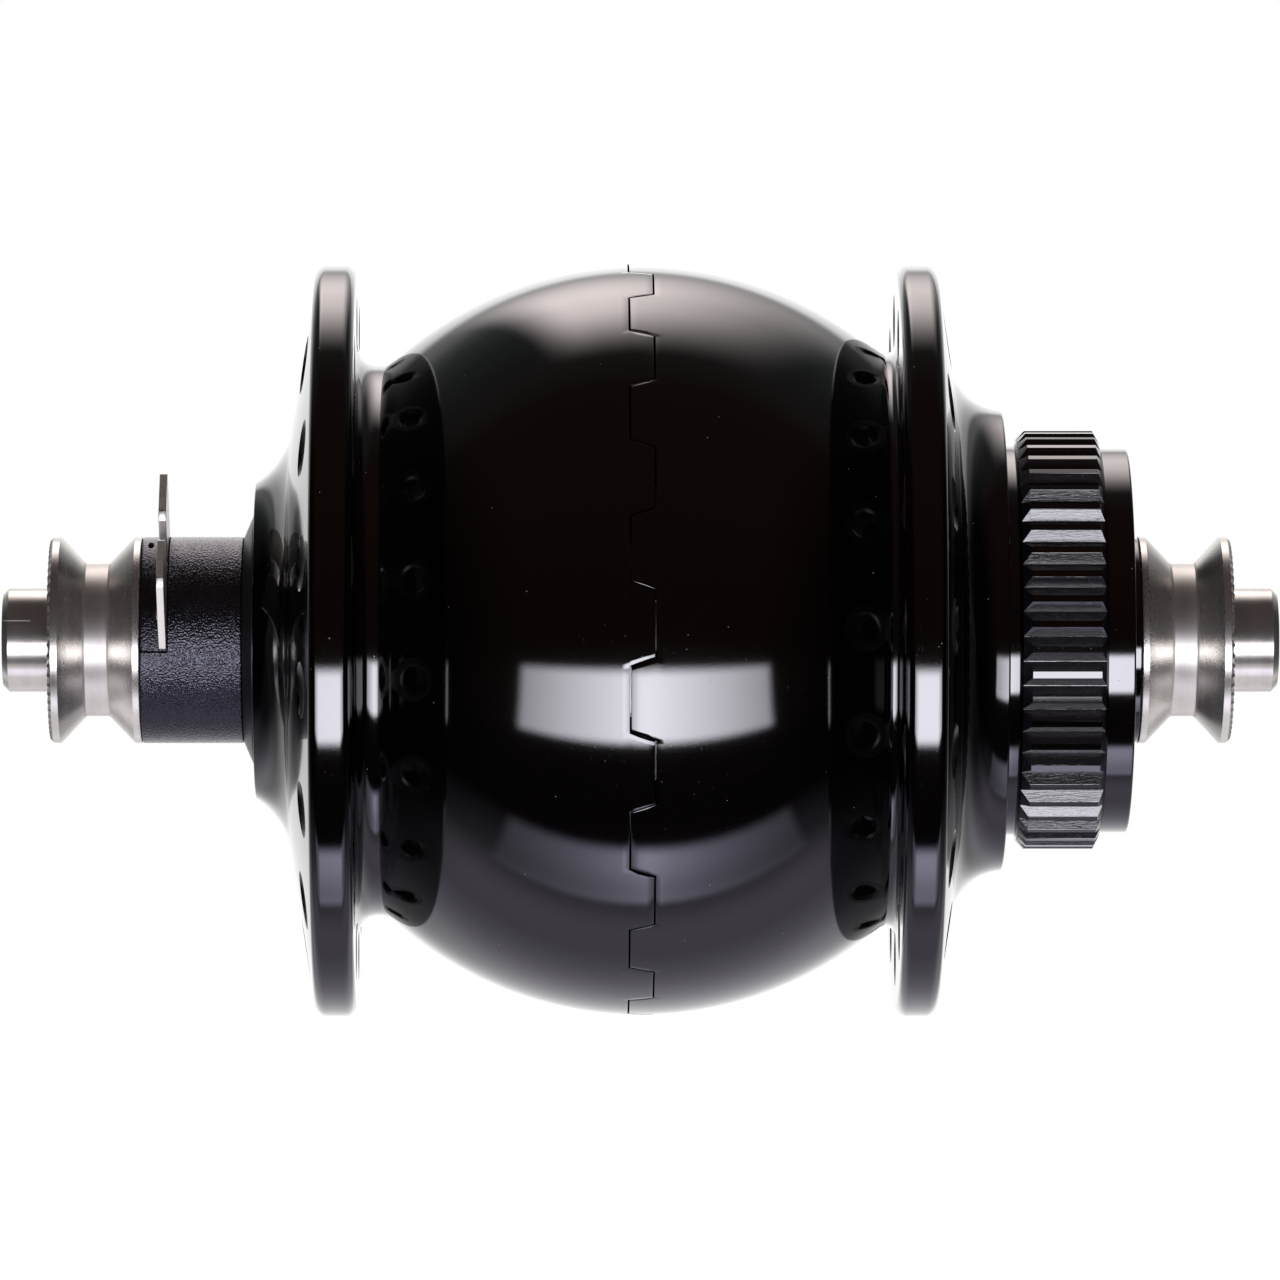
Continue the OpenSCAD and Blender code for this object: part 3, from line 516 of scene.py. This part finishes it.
def drilled(half, flange_x, flange_t, side, first_angle):
    """Drills a flange's spoke holes, sunk deep from outside and lightly from inside."""
    face_x = flange_x + flange_t
    drill_columns = 40
    drill_outline = [
        (flange_x - 1, 0), (flange_x - 1, 2.73), (flange_x - 0.03, 1.76), (flange_x + 0.05, 1.6),
        (flange_x + 0.35, hole_r), (face_x - 0.9, hole_r), (face_x - 0.07, sink_r - 0.2),
        (face_x + 0.03, sink_r), (face_x + 1, sink_r + 0.97), (face_x + 1, 0),
    ]
    drills = turned("drills", [(side * x, r) for x, r in drill_outline], drill_columns)
    bpy.ops.object.mode_set(mode="EDIT")
    bpy.ops.mesh.select_all(action="SELECT")
    bpy.ops.transform.translate(value=round_axle(0, spoke_r, math.radians(first_angle)))
    bpy.ops.mesh.spin(
        steps=spoke_count - 1, angle=2 * math.pi * (spoke_count - 1) / spoke_count,
        dupli=True, center=(0, 0, 0), axis=(1, 0, 0),
    )
    bpy.ops.object.mode_set(mode="OBJECT")
    cut_by(half, drills)


black_anodised, shader, place = new_finish("black_anodised", IOR=2.0)
along, out = along_and_out(place)
wipe = noise(place, 60.0, 3.0, 0.6)
haze = noise(place, 5200.0, 1.0)
milled = (
    fade(along, (spline_x + 0.01) * mm, (spline_x + 0.05) * mm)
    * fade(along, (spline_end_x + 0.02) * mm, (spline_end_x - 0.02) * mm)
    * fade(out, (flank_r + 0.03) * mm, (flank_r - 0.01) * mm)
    * fade(out, collar_r * mm, (collar_r + 0.2) * mm)
)
drawn_out = place.node("ShaderNodeMapping", {}, {"Vector": place, "Scale": (0.12, 1, 1)})
cutter = noise(drawn_out, 9000.0, 3.0, 0.6)
hole_pitch = math.radians(360 / spoke_count)
right_holes = math.radians(shell_turn)
holes_on = fade(along, -mm, mm, right_holes + hole_pitch / 2, right_holes)
_, y, z = split(place)
pitches = (maths("ARCTAN2", z, 0 - y) - holes_on) / hole_pitch
beside = maths("PINGPONG", pitches, 0.5) * hole_pitch * out
beyond = out - spoke_r * mm
from_hole = (beside * beside + beyond * beyond) ** 0.5
bored = (
    fade(from_hole, (sink_r + 0.05) * mm, (sink_r - 0.01) * mm)
    * fade(abs(along), (right_flange_x - 0.7) * mm, (right_flange_x - 0.6) * mm)
)
dust = place.node("ShaderNodeTexVoronoi", {}, {"Vector": place, "Scale": 560.0}, "Distance")
specks = fade(dust, 0.035, 0.02)
polished = mixed(wipe, (0.0009, 0.0005, 0.0005, 1), (0.0016, 0.001, 0.001, 1))
black = mixed(milled, polished, (0.005, 0.005, 0.0075, 1))
put(shader.inputs["Base Color"], mixed(specks, black, (0.3, 0.28, 0.27, 1)))
put(shader.inputs["Roughness"], (
    0.05 + wipe * 0.035 + fade(haze, 0.72, 0.8) * 0.2 + milled * (0.08 + cutter * 0.12)
    + bored * 0.35 + specks * 0.4
))
ripple = cutter * milled * 4 + noise(place, 3500.0) * 0.15
put(shader.inputs["Normal"], bumped(ripple, 0.004 * mm))

generator_room = [
    (stator_room_x, stator_room_r), (ring_step_x, stator_room_r), (ring_step_x, ring_step_r),
    (ring_pocket_x, ring_step_r), (ring_pocket_x, ring_pocket_r), (seam_root, ring_pocket_r),
]
left_bore = [
    (left_boss_x, left_lip_r), (left_bearing_x, left_lip_r), (left_bearing_x, left_bearing_r),
    (left_clip_x, left_bearing_r), (left_clip_x, left_clip_r), (left_clip_end_x, left_clip_r),
    (left_clip_end_x, left_bearing_r), (stator_room_x, left_bearing_r),
]
left_half = shell_half("left_half", half_outline(
    left_flange_x, left_flange_t, neck_round=1.85, boss_x=left_boss_x, boss_r=13.5, taper=33,
    boss_round=6.5, inside=left_bore + generator_room,
), -1)
drilled(left_half, left_flange_x, left_flange_t, -1, shell_turn + 180 / spoke_count)
in_place(left_half, "left_shell", black_anodised, "hub_shell")

right_bore = [
    (right_boss_x, 16.0), (30.3, 16.0), (30.3, right_bearing_r), (right_bearing_x, right_bearing_r),
    (right_bearing_x, right_stop_r), (stator_room_x, right_stop_r),
]
right_half = shell_half("right_half", half_outline(
    right_flange_x, right_flange_t, neck_round=0.85, boss_x=right_boss_x, boss_r=19.62, taper=8,
    boss_round=4.8, inside=right_bore + generator_room,
), 1)
drilled(right_half, right_flange_x, right_flange_t, 1, shell_turn)

# The right half goes on as the disc's seat: a collar, the spline and a nose, and inside them the lock
# ring's thread, the bearing's seat and the groove of its ring. Each tooth of the spline has seven
# columns: two in its groove, one up each flank and three on its crest.
spline_pitch = 360 / spline_teeth
groove_turn, flank_turn, crest_turn = 0.1, 2.46, 2.56
tooth_turns = (
    -groove_turn, groove_turn, flank_turn, crest_turn,
    spline_pitch / 2, spline_pitch - crest_turn, spline_pitch - flank_turn,
)
nose_r, nose_x = 16.4, 41.2
lock_x, lock_r, lock_root_r, lock_pitch, lock_turns = 40.6, 14.5, 14.98, 1.0, 4
thread = []
for turn in range(lock_turns):
    x = lock_x - lock_pitch * turn
    thread += [
        (x, lock_r, 0), (x - 0.12, lock_r, 0), (x - 0.45, lock_root_r, 0), (x - 0.55, lock_root_r, 0),
        (x - 0.88, lock_r, 0),
    ]
seat_outline = eased([
    (30.31, right_bearing_r, 0), (30.31, 15.99, 0), (30.59, 15.99, 0), (30.59, collar_r, 0),
    (spline_x, collar_r, 0.3), (spline_x, groove_r - 0.04, 0), (31.8, groove_r, 0),
    (32.49, flank_r, 0), (32.55, spline_r, 0), (38.3, spline_r, 0), (38.336, flank_r, 0),
    (38.722, groove_r, 0), (spline_end_x, groove_r - 0.04, 0), (38.93, nose_r, 0),
    (nose_x, nose_r, 0.2), (nose_x, 14.85, 0), (40.85, lock_r, 0),
    *thread,
    (35.8, lock_r, 0), (35.8, right_bearing_r, 0), (right_clip_end_x, right_bearing_r, 0),
    (right_clip_end_x, right_clip_r, 0), (right_clip_x, right_clip_r, 0),
    (right_clip_x, right_bearing_r, 0),
], 4)
seat_columns = spline_teeth * len(tooth_turns)
seat = turned("seat", seat_outline, seat_columns, spline_turn)
for vertex in seat.data.vertices:
    number = column(vertex.co, spline_turn, 360 / seat_columns) % seat_columns
    tooth, part = divmod(number, len(tooth_turns))
    r = math.hypot(vertex.co.y, vertex.co.z) / mm
    if r < collar_r + 0.05:
        continue
    lean = tooth_turns[part]
    if groove_r - same_place < r and part < 2:
        r = groove_r
    elif groove_r - same_place < r and part in (2, 6):
        r = min(r, flank_r)
        climb = (r - groove_r) / (flank_r - groove_r)
        reach = groove_turn + (flank_turn - groove_turn) * climb
        lean = reach if part == 2 else spline_pitch - reach
    turn = spline_turn + tooth * spline_pitch + lean
    vertex.co.yz = round_axle(0, r, math.radians(turn))[1:]
only(right_half)
seat.select_set(True)
bpy.ops.object.join()
in_place(right_half, "right_shell", black_anodised, "hub_shell")
for name in ("left_bearing_circlip", "right_bearing_circlip"):
    dress(nodes[name], spring_steel)

# Dust seal: a black moulded rubber cone on the axle. Its foot stands on the bearing's inner ring, and
# its edge covers the left bearing and clears the turning shell.
on_axle_r, end_r, ring_columns = 6.03, 8.75, 192
seal_r, seal_foot_r, seal_foot_x = 10.6, 7.7, -left_bearing_x
seal_outline = eased([
    (-33.55, on_axle_r, 0), (-33.55, end_r, 0.12), (-32.75, seal_r, 0.15), (-31.85, seal_r, 0),
    (-31.85, seal_foot_r, 0), (seal_foot_x, seal_foot_r, 0), (seal_foot_x, on_axle_r, 0),
], 4)
dust_cone = turned("dust_cone", seal_outline, ring_columns)
in_place(dust_cone, "left_dust_seal", seal_rubber, "axle_set")

# Sleeve: moulded black plastic with a fine leather grain, between the left cap and the hub. One side
# is open, and the saddle with the terminals sits in it.
tab_angle = math.radians(43)
sleeve_x, sleeve_end_x = -42.17, -33.58
outside_x, outside_r = -43.2, 17.5
saddle_half, saddle_gap = 6.6, 0.12
mould_tint = (0.84, 0.83, 1.0, 1)


def up_front(x, out, across):
    """A place by its distance along the axle, out towards the terminals and across them."""
    return Vector((
        x, -out * math.cos(tab_angle) + across * math.sin(tab_angle),
        out * math.sin(tab_angle) + across * math.cos(tab_angle),
    )) * mm


def block(name, low, high):
    """A block between two corners of (along, out, across)."""
    bpy.ops.object.select_all(action="DESELECT")
    bpy.ops.mesh.primitive_cube_add(size=2.0)
    made = bpy.context.object
    made.name = name
    for vertex in made.data.vertices:
        vertex.co = up_front(*((h if c > 0 else l) for c, l, h in zip(vertex.co, low, high)))
    bpy.ops.object.mode_set(mode="EDIT")
    bpy.ops.mesh.select_all(action="SELECT")
    bpy.ops.mesh.normals_make_consistent(inside=False)
    bpy.ops.object.mode_set(mode="OBJECT")
    return made


def leather_grain(place):
    """The height of the mould's fine leather grain."""
    cells = place.node(
        "ShaderNodeTexVoronoi", {"feature": "SMOOTH_F1"},
        {"Vector": place, "Scale": 5600.0, "Smoothness": 0.3}, "Distance",
    )
    return cells + noise(place, 9000.0) * 0.4


grained_plastic, shader, place = new_finish("grained_plastic", IOR=1.72, Specular_Tint=mould_tint)
moulded = mixed(noise(place, 900.0), (0.003, 0.003, 0.0032, 1), (0.007, 0.007, 0.008, 1))
put(shader.inputs["Base Color"], moulded)
put(shader.inputs["Roughness"], 0.2 + noise(place, 4000.0) * 0.12)
put(shader.inputs["Normal"], bumped(leather_grain(place), 0.048 * mm))
sleeve = turned("sleeve", eased([
    (sleeve_x, on_axle_r, 0), (sleeve_x, end_r, 0.15), (sleeve_end_x, end_r, 0.15),
    (sleeve_end_x, on_axle_r, 0),
], 4), ring_columns)
room_half, room_end_x = saddle_half + saddle_gap, -39.75
cut_by(sleeve, block("room", (outside_x, 0, -room_half), (room_end_x, outside_r, room_half)))
in_place(sleeve, "connector_sleeve", grained_plastic, "axle_set")

# Saddle: the block of smooth black plastic in the sleeve's open side. The two tabs are moulded into
# it, and a pin of its mould has left a mark.
saddle_r, saddle_end_x = 8.74, -39.83
tab_x, tab_t, tab_foot, tab_tip = -40.53, 0.64, 5.95, 14.1
tab_near, tab_far = 1.1, 6.6
pin_r, pin_place = 0.26 * mm, (-41.36 * mm, -3.4 * mm, 8.0 * mm)
smooth_plastic = clouded(
    "smooth_plastic", (1200.0, 3.0), (0.0025, 0.0025, 0.003, 1), (0.006, 0.006, 0.0065, 1), 0.2, 0.12,
    relief=leather_grain, depth=0.045, IOR=1.6, Specular_Tint=mould_tint,
)
saddle = turned("saddle", eased([
    (sleeve_x, on_axle_r, 0), (sleeve_x, saddle_r, 0.25), (saddle_end_x, saddle_r, 0.06),
    (saddle_end_x, on_axle_r, 0),
], 4), ring_columns)
cheeks = block("cheeks", (outside_x, 0, -saddle_half), (-39, outside_r, saddle_half))
cut_by(saddle, cheeks, "INTERSECT")
for side in (-1, 1):
    near, far = sorted((side * (tab_near - 0.03), side * (tab_far + 0.1)))
    slot_x, slot_end_x = tab_x - 0.03, tab_x + tab_t + 0.5
    slot = block("slot", (slot_x, tab_foot - 0.05, near), (slot_end_x, outside_r, far))
    cut_by(saddle, slot)
bpy.ops.object.select_all(action="DESELECT")
bpy.ops.mesh.primitive_cylinder_add(
    vertices=32, radius=pin_r, depth=1.6 * mm, location=pin_place, rotation=(math.pi / 2, 0, 0),
)
cut_by(saddle, bpy.context.object)
in_place(saddle, "terminal_saddle", smooth_plastic, "axle_set")

# Terminal tabs: brass blades punched from strip and tinned, moulded into the saddle. A push-on plug
# snaps over a small dimple in each.
tab_corner, tab_edge = 0.6, 0.06
dimple_r, dimple_out, dimple_across = 0.6, 9.5, 5.95
tinned_tab = clouded(
    "tinned_tab", (1500.0, 3.0, 0.6), (0.74, 0.71, 0.66, 1), (0.86, 0.84, 0.79, 1), 0.24, 0.18,
    relief=lambda place: noise(place, 5000.0, 3.0), depth=0.01, Metallic=1.0,
)


def broken_edges(piece, width, angle):
    """Rounds the sharp edges of a piece by a small width."""
    only(piece)
    edge = piece.modifiers.new("edges", "BEVEL")
    edge.limit_method = "ANGLE"
    edge.angle_limit = math.radians(angle)
    edge.width = width * mm
    edge.segments = 2
    edge.use_clamp_overlap = True
    bpy.ops.object.modifier_apply(modifier=edge.name)


for side, name in ((-1, "front"), (1, "rear")):
    near, far = sorted((side * tab_near, side * tab_far))
    tab = block(name + "_tab", (tab_x, tab_foot, near), (tab_x + tab_t, tab_tip, far))
    start_selection("EDGE")
    for edge in tab.data.edges:
        a, b = (tab.data.vertices[i].co for i in edge.vertices)
        out = min(v.z * math.sin(tab_angle) - v.y * math.cos(tab_angle) for v in (a, b)) / mm
        edge.select = out > tab_tip - 0.1 and abs(a.x - b.x) > 0.5 * mm
    bpy.ops.object.mode_set(mode="EDIT")
    bpy.ops.mesh.bevel(offset=tab_corner * mm, segments=1, affect="EDGES")
    bpy.ops.object.mode_set(mode="OBJECT")
    broken_edges(tab, tab_edge, 30)
    bpy.ops.object.select_all(action="DESELECT")
    bpy.ops.mesh.primitive_uv_sphere_add(
        segments=32, ring_count=16, radius=dimple_r * mm, scale=(0.5, 1, 1),
        location=up_front(tab_x + 0.15, dimple_out, side * dimple_across),
    )
    cut_by(tab, bpy.context.object, "UNION")
    in_place(tab, name + "_terminal_tab", tinned_tab, "axle_set", 50)

# Spacer: a black anodised ring, turned from aluminium, that slides on the axle. The right cap clamps
# it against the right bearing's inner ring.
spacer_x, spacer_step_x, spacer_end_x, spacer_foot_r = 34.13, 34.7, 42.17, 7.7
spacer_outline = eased([
    (spacer_x, on_axle_r, 0), (spacer_x, spacer_foot_r, 0), (spacer_step_x, spacer_foot_r, 0),
    (spacer_step_x, end_r, 0.1), (spacer_end_x, end_r, 0.15), (spacer_end_x, on_axle_r, 0),
], 4)
spacer = turned("spacer", spacer_outline, ring_columns)
in_place(spacer, "right_spacer", black_anodised, "axle_set")

# End caps: turned from stainless steel and screwed on the axle. The faces that the fork clamps have
# a ring of fine teeth.
cap_x, cap_face_x, cap_columns = 42.2, 50.0, 360
cap_thread_r, cap_waist_r, cap_hole_r = 5.03, 6.45, 4.43
tooth_depth, columns_per_tooth, tooth_in_r, tooth_out_r = 0.25, 6, 6.6, 8.43
cap_steel = turned_steel("turned_steel", (0.64, 0.617, 0.58), 0.26, coarse_r=cap_waist_r + 0.1)
cap_outline = eased([
    (cap_x, cap_thread_r, 0), (cap_x, end_r, 0.1), (42.8, end_r, 0.06), (45.0, cap_waist_r, 0.2),
    (46.95, cap_waist_r, 0.2), (49.1, end_r, 0.06), (49.68, end_r, 0), (49.74, 8.69, 0),
    (cap_face_x, tooth_out_r, 0), (cap_face_x, tooth_in_r, 0), (cap_face_x, 6.5, 0),
    (cap_face_x, 4.55, 0), (49.88, cap_hole_r, 0), (48.03, cap_hole_r, 0), (48.03, cap_thread_r, 0),
], 6)
for side, name in ((-1, "left"), (1, "right")):
    cap = turned(name + "_cap", [(side * x, r) for x, r in cap_outline], cap_columns)
    for vertex in cap.data.vertices:
        r = math.hypot(vertex.co.y, vertex.co.z) / mm
        on_face = abs(side * vertex.co.x / mm - cap_face_x) < same_place
        if on_face and tooth_in_r - 0.05 < r < tooth_out_r + 0.07:
            half_tooth = columns_per_tooth / 2
            number = column(vertex.co, 0, 360 / cap_columns)
            drop = abs(number % columns_per_tooth - half_tooth) / half_tooth
            vertex.co.x -= side * tooth_depth * drop * mm
    in_place(cap, name + "_end_cap", cap_steel, "axle_set", 25)

# Camera: level with the axle and square to it, far enough away for a long lens, and a little to the
# left, as the picture is cropped.
photo_width = 108.67 * mm
camera_distance = 0.85
camera_x = -7.4 * mm
camera = bpy.data.cameras.new("camera")
camera.lens = camera.sensor_width * camera_distance / photo_width
camera.shift_x = -camera_x / photo_width
camera.clip_start = 0.05
camera.clip_end = 20.0
camera_object = bpy.data.objects.new("camera", camera)
camera_object.location = (camera_x, -camera_distance, 0)
camera_object.rotation_euler = (math.radians(90), 0, 0)
bpy.context.scene.collection.objects.link(camera_object)
bpy.context.scene.camera = camera_object

# Floor: a sheet of pale card under the hub, which keeps its soft shadow and runs out to white. Only
# the camera sees it, because the studio's own table lights the hub.
floor_z = -75 * mm
bpy.ops.object.select_all(action="DESELECT")
bpy.ops.mesh.primitive_plane_add(size=8.0, location=(0, 0, floor_z))
floor = bpy.context.object
floor.name = "floor"
card = bpy.data.materials.new("pale_card")
card.use_nodes = True
tree = card.node_tree
tree.nodes.remove(tree.nodes["Principled BSDF"])
place = Socket(tree, tree.nodes.new("ShaderNodeTexCoord").outputs["Object"])
spread = place.node("ShaderNodeVectorMath", {"operation": "LENGTH"}, {0: place}, "Value")
paper = place.node("ShaderNodeBsdfDiffuse", {}, {"Color": (0.9, 0.9, 0.9, 1)})
white = place.node("ShaderNodeEmission", {}, {"Color": (1, 1, 1, 1), "Strength": 1.0})
runout = fade(spread, 0.06, 0.3, 0.45, 1.0)
sheet = place.node("ShaderNodeMixShader", {}, {0: runout, 1: paper, 2: white})
put(tree.nodes["Material Output"].inputs["Surface"], sheet)
dress(floor, card)
floor.visible_glossy = False
floor.visible_diffuse = False
floor.visible_shadow = False
floor.visible_transmission = False

# Studio: a long soft box below the camera, a smaller one above and behind, a lit strip of the table
# and the white behind, all round a dark room, as the polished shell shows them. Angles go round the
# axle from the camera over the top, and lateral ones from the camera to the right.
world = bpy.data.worlds.new("studio")
bpy.context.scene.world = world
world.use_nodes = True
tree = world.node_tree
direction = Socket(tree, tree.nodes.new("ShaderNodeTexCoord").outputs["Generated"])
rightward, depth, height = split(direction)
room_top = 2.2
backdrop, underside, dusk = (1, 1, 1), (0.98, 0.92, 1.12), (1, 0.8, 0.9)
# An angle, how bright the room is there, and its tint
room = (
    (-180, 1.1, backdrop),
    (-168, 1.6, backdrop),
    (-162, 1.35, backdrop),
    (-156, 1.13, (1, 0.99, 1.02)),
    (-150, 0.95, (1, 0.98, 1.04)),
    (-144, 0.78, (1, 0.97, 1.06)),
    (-138, 0.63, (0.99, 0.96, 1.07)),
    (-132, 0.51, (0.99, 0.95, 1.08)),
    (-126, 0.42, (0.98, 0.94, 1.1)),
    (-120, 0.355, underside),
    (-112, 0.3, underside),
    (-102, 0.35, underside),
    (-96, 0.32, underside),
    (-90, 0.22, underside),
    (-84, 0.12, underside),
    (-63, 0.006, dusk),
    (-38, 0.008, dusk),
    (-20, 0.02, (1.2, 0.85, 0.85)),
    (0, 0.013, (1.55, 0.8, 0.62)),
    (50, 0.022, (1.5, 0.83, 0.62)),
    (84, 0.026, (1.33, 0.87, 0.76)),
    (96, 0.045, (1.15, 0.92, 0.93)),
    (108, 0.05, (1, 1, 1)),
    (120, 0.065, (0.92, 1.03, 1.05)),
    (132, 0.11, (0.92, 1.03, 1.05)),
    (138, 0.2, (0.96, 1.02, 1.02)),
    (144, 0.42, backdrop),
    (151, 0.6, backdrop),
    (155.5, 1.95, backdrop),
    (168, 1.9, backdrop),
    (180, 1.1, backdrop),
)
stops = [
    ((degrees + 180) / 360, tuple(c * level / room_top for c in tint) + (1,))
    for degrees, level, tint in room
]
turn = maths("ARCTAN2", height, 0 - depth) / math.radians(360) + 0.5
walls = turn.node("ShaderNodeValToRGB", {"stops": stops}, {"Fac": turn}, "Color")
angle = (turn - 0.5) * 360
lateral = maths("ARCSINE", rightward) * math.degrees(1)
away = abs(lateral)
box_centre = 2
off_centre = abs(lateral - box_centre)


def glow(amount, colour):
    """A colour made as bright as an amount."""
    return amount.node(
        "ShaderNodeVectorMath", {"operation": "SCALE"}, {0: colour, "Scale": amount},
    )


def with_light(first, second):
    """Two lights together."""
    return first.node("ShaderNodeVectorMath", {"operation": "ADD"}, {0: first, 1: second})


# Each box fades in and out between the angles of its edges
front_level, front_fall, top_level = 7.15, 0.128, 3.15
table_level, table_reach = 1.75, 19.0
front_box = (
    fade(angle, -33.5, -29.5) * fade(angle, -7.0, -11.5)
    * fade(lateral, -39.0, -35.5) * fade(lateral, 41.5, 38.0)
    * (front_level - off_centre * front_fall)
)
top_box = (
    fade(angle, 97.0, 125.0) * fade(angle, 156.0, 131.0)
    * fade(lateral, -19.5, -9.5) * fade(lateral, 30.0, -6.0) * top_level
)
table = (
    fade(angle, -64.0, -69.5) * fade(angle, -89.5, -85.5) * fade(angle, -84.0, -70.0, 0.55, 1.0)
    * fade(lateral, -37.0, -33.0) * fade(lateral, 41.5, 38.0)
    * math.e ** (off_centre / -table_reach) * table_level
)
beyond_edge = fade(abs(angle), 136.0, 156.0) * fade(away, 5.0, 34.0, 0.0, 0.6)
light = glow(fade(away, 34.0, 66.0, 1.0, 0.06) * (1 - beyond_edge) * room_top, walls)
for box, tint in (
    (front_box, (0.974, 0.965, 1.062)),
    (top_box, (1.08, 0.966, 0.953)),
    (table, (0.93, 0.89, 1.17)),
):
    light = with_light(light, glow(box, tint))
seen = Socket(tree, tree.nodes.new("ShaderNodeLightPath").outputs["Is Camera Ray"])
background = tree.nodes["Background"]
put(background.inputs["Color"], mixed(seen, light, (1, 1, 1, 1)))
background.inputs["Strength"].default_value = 1.0

# Fill lamps: a flat panel under each end of the hub, clear of the shell's shadow on the table. They
# light the bright steel and the tabs alone.
fill_x, fill_y, fill_z = 0.1, 0.024, -0.075
fill_w, fill_d, fill_level = 0.14, 0.16, 0.68
ends = bpy.data.collections.new("ends")
ends.objects.link(nodes["axle"])
for name in ("left_cap", "right_cap", "front_tab", "rear_tab"):
    ends.objects.link(bpy.data.objects[name])
for name, side in (("left_fill", -1), ("right_fill", 1)):
    lamp = bpy.data.lights.new(name, "AREA")
    lamp.shape = "RECTANGLE"
    lamp.size, lamp.size_y = fill_w, fill_d
    lamp.energy = fill_level * math.pi * fill_w * fill_d
    lamp.color = (1, 0.98, 0.96)
    fill = bpy.data.objects.new(name, lamp)
    fill.location = (side * fill_x, fill_y, fill_z)
    fill.rotation_euler = (math.pi, 0, 0)
    fill.visible_camera = False
    fill.light_linking.receiver_collection = ends
    bpy.context.scene.collection.objects.link(fill)

# Picture: the colours show as they are written, without a film look.
bpy.context.scene.view_settings.view_transform = "Standard"
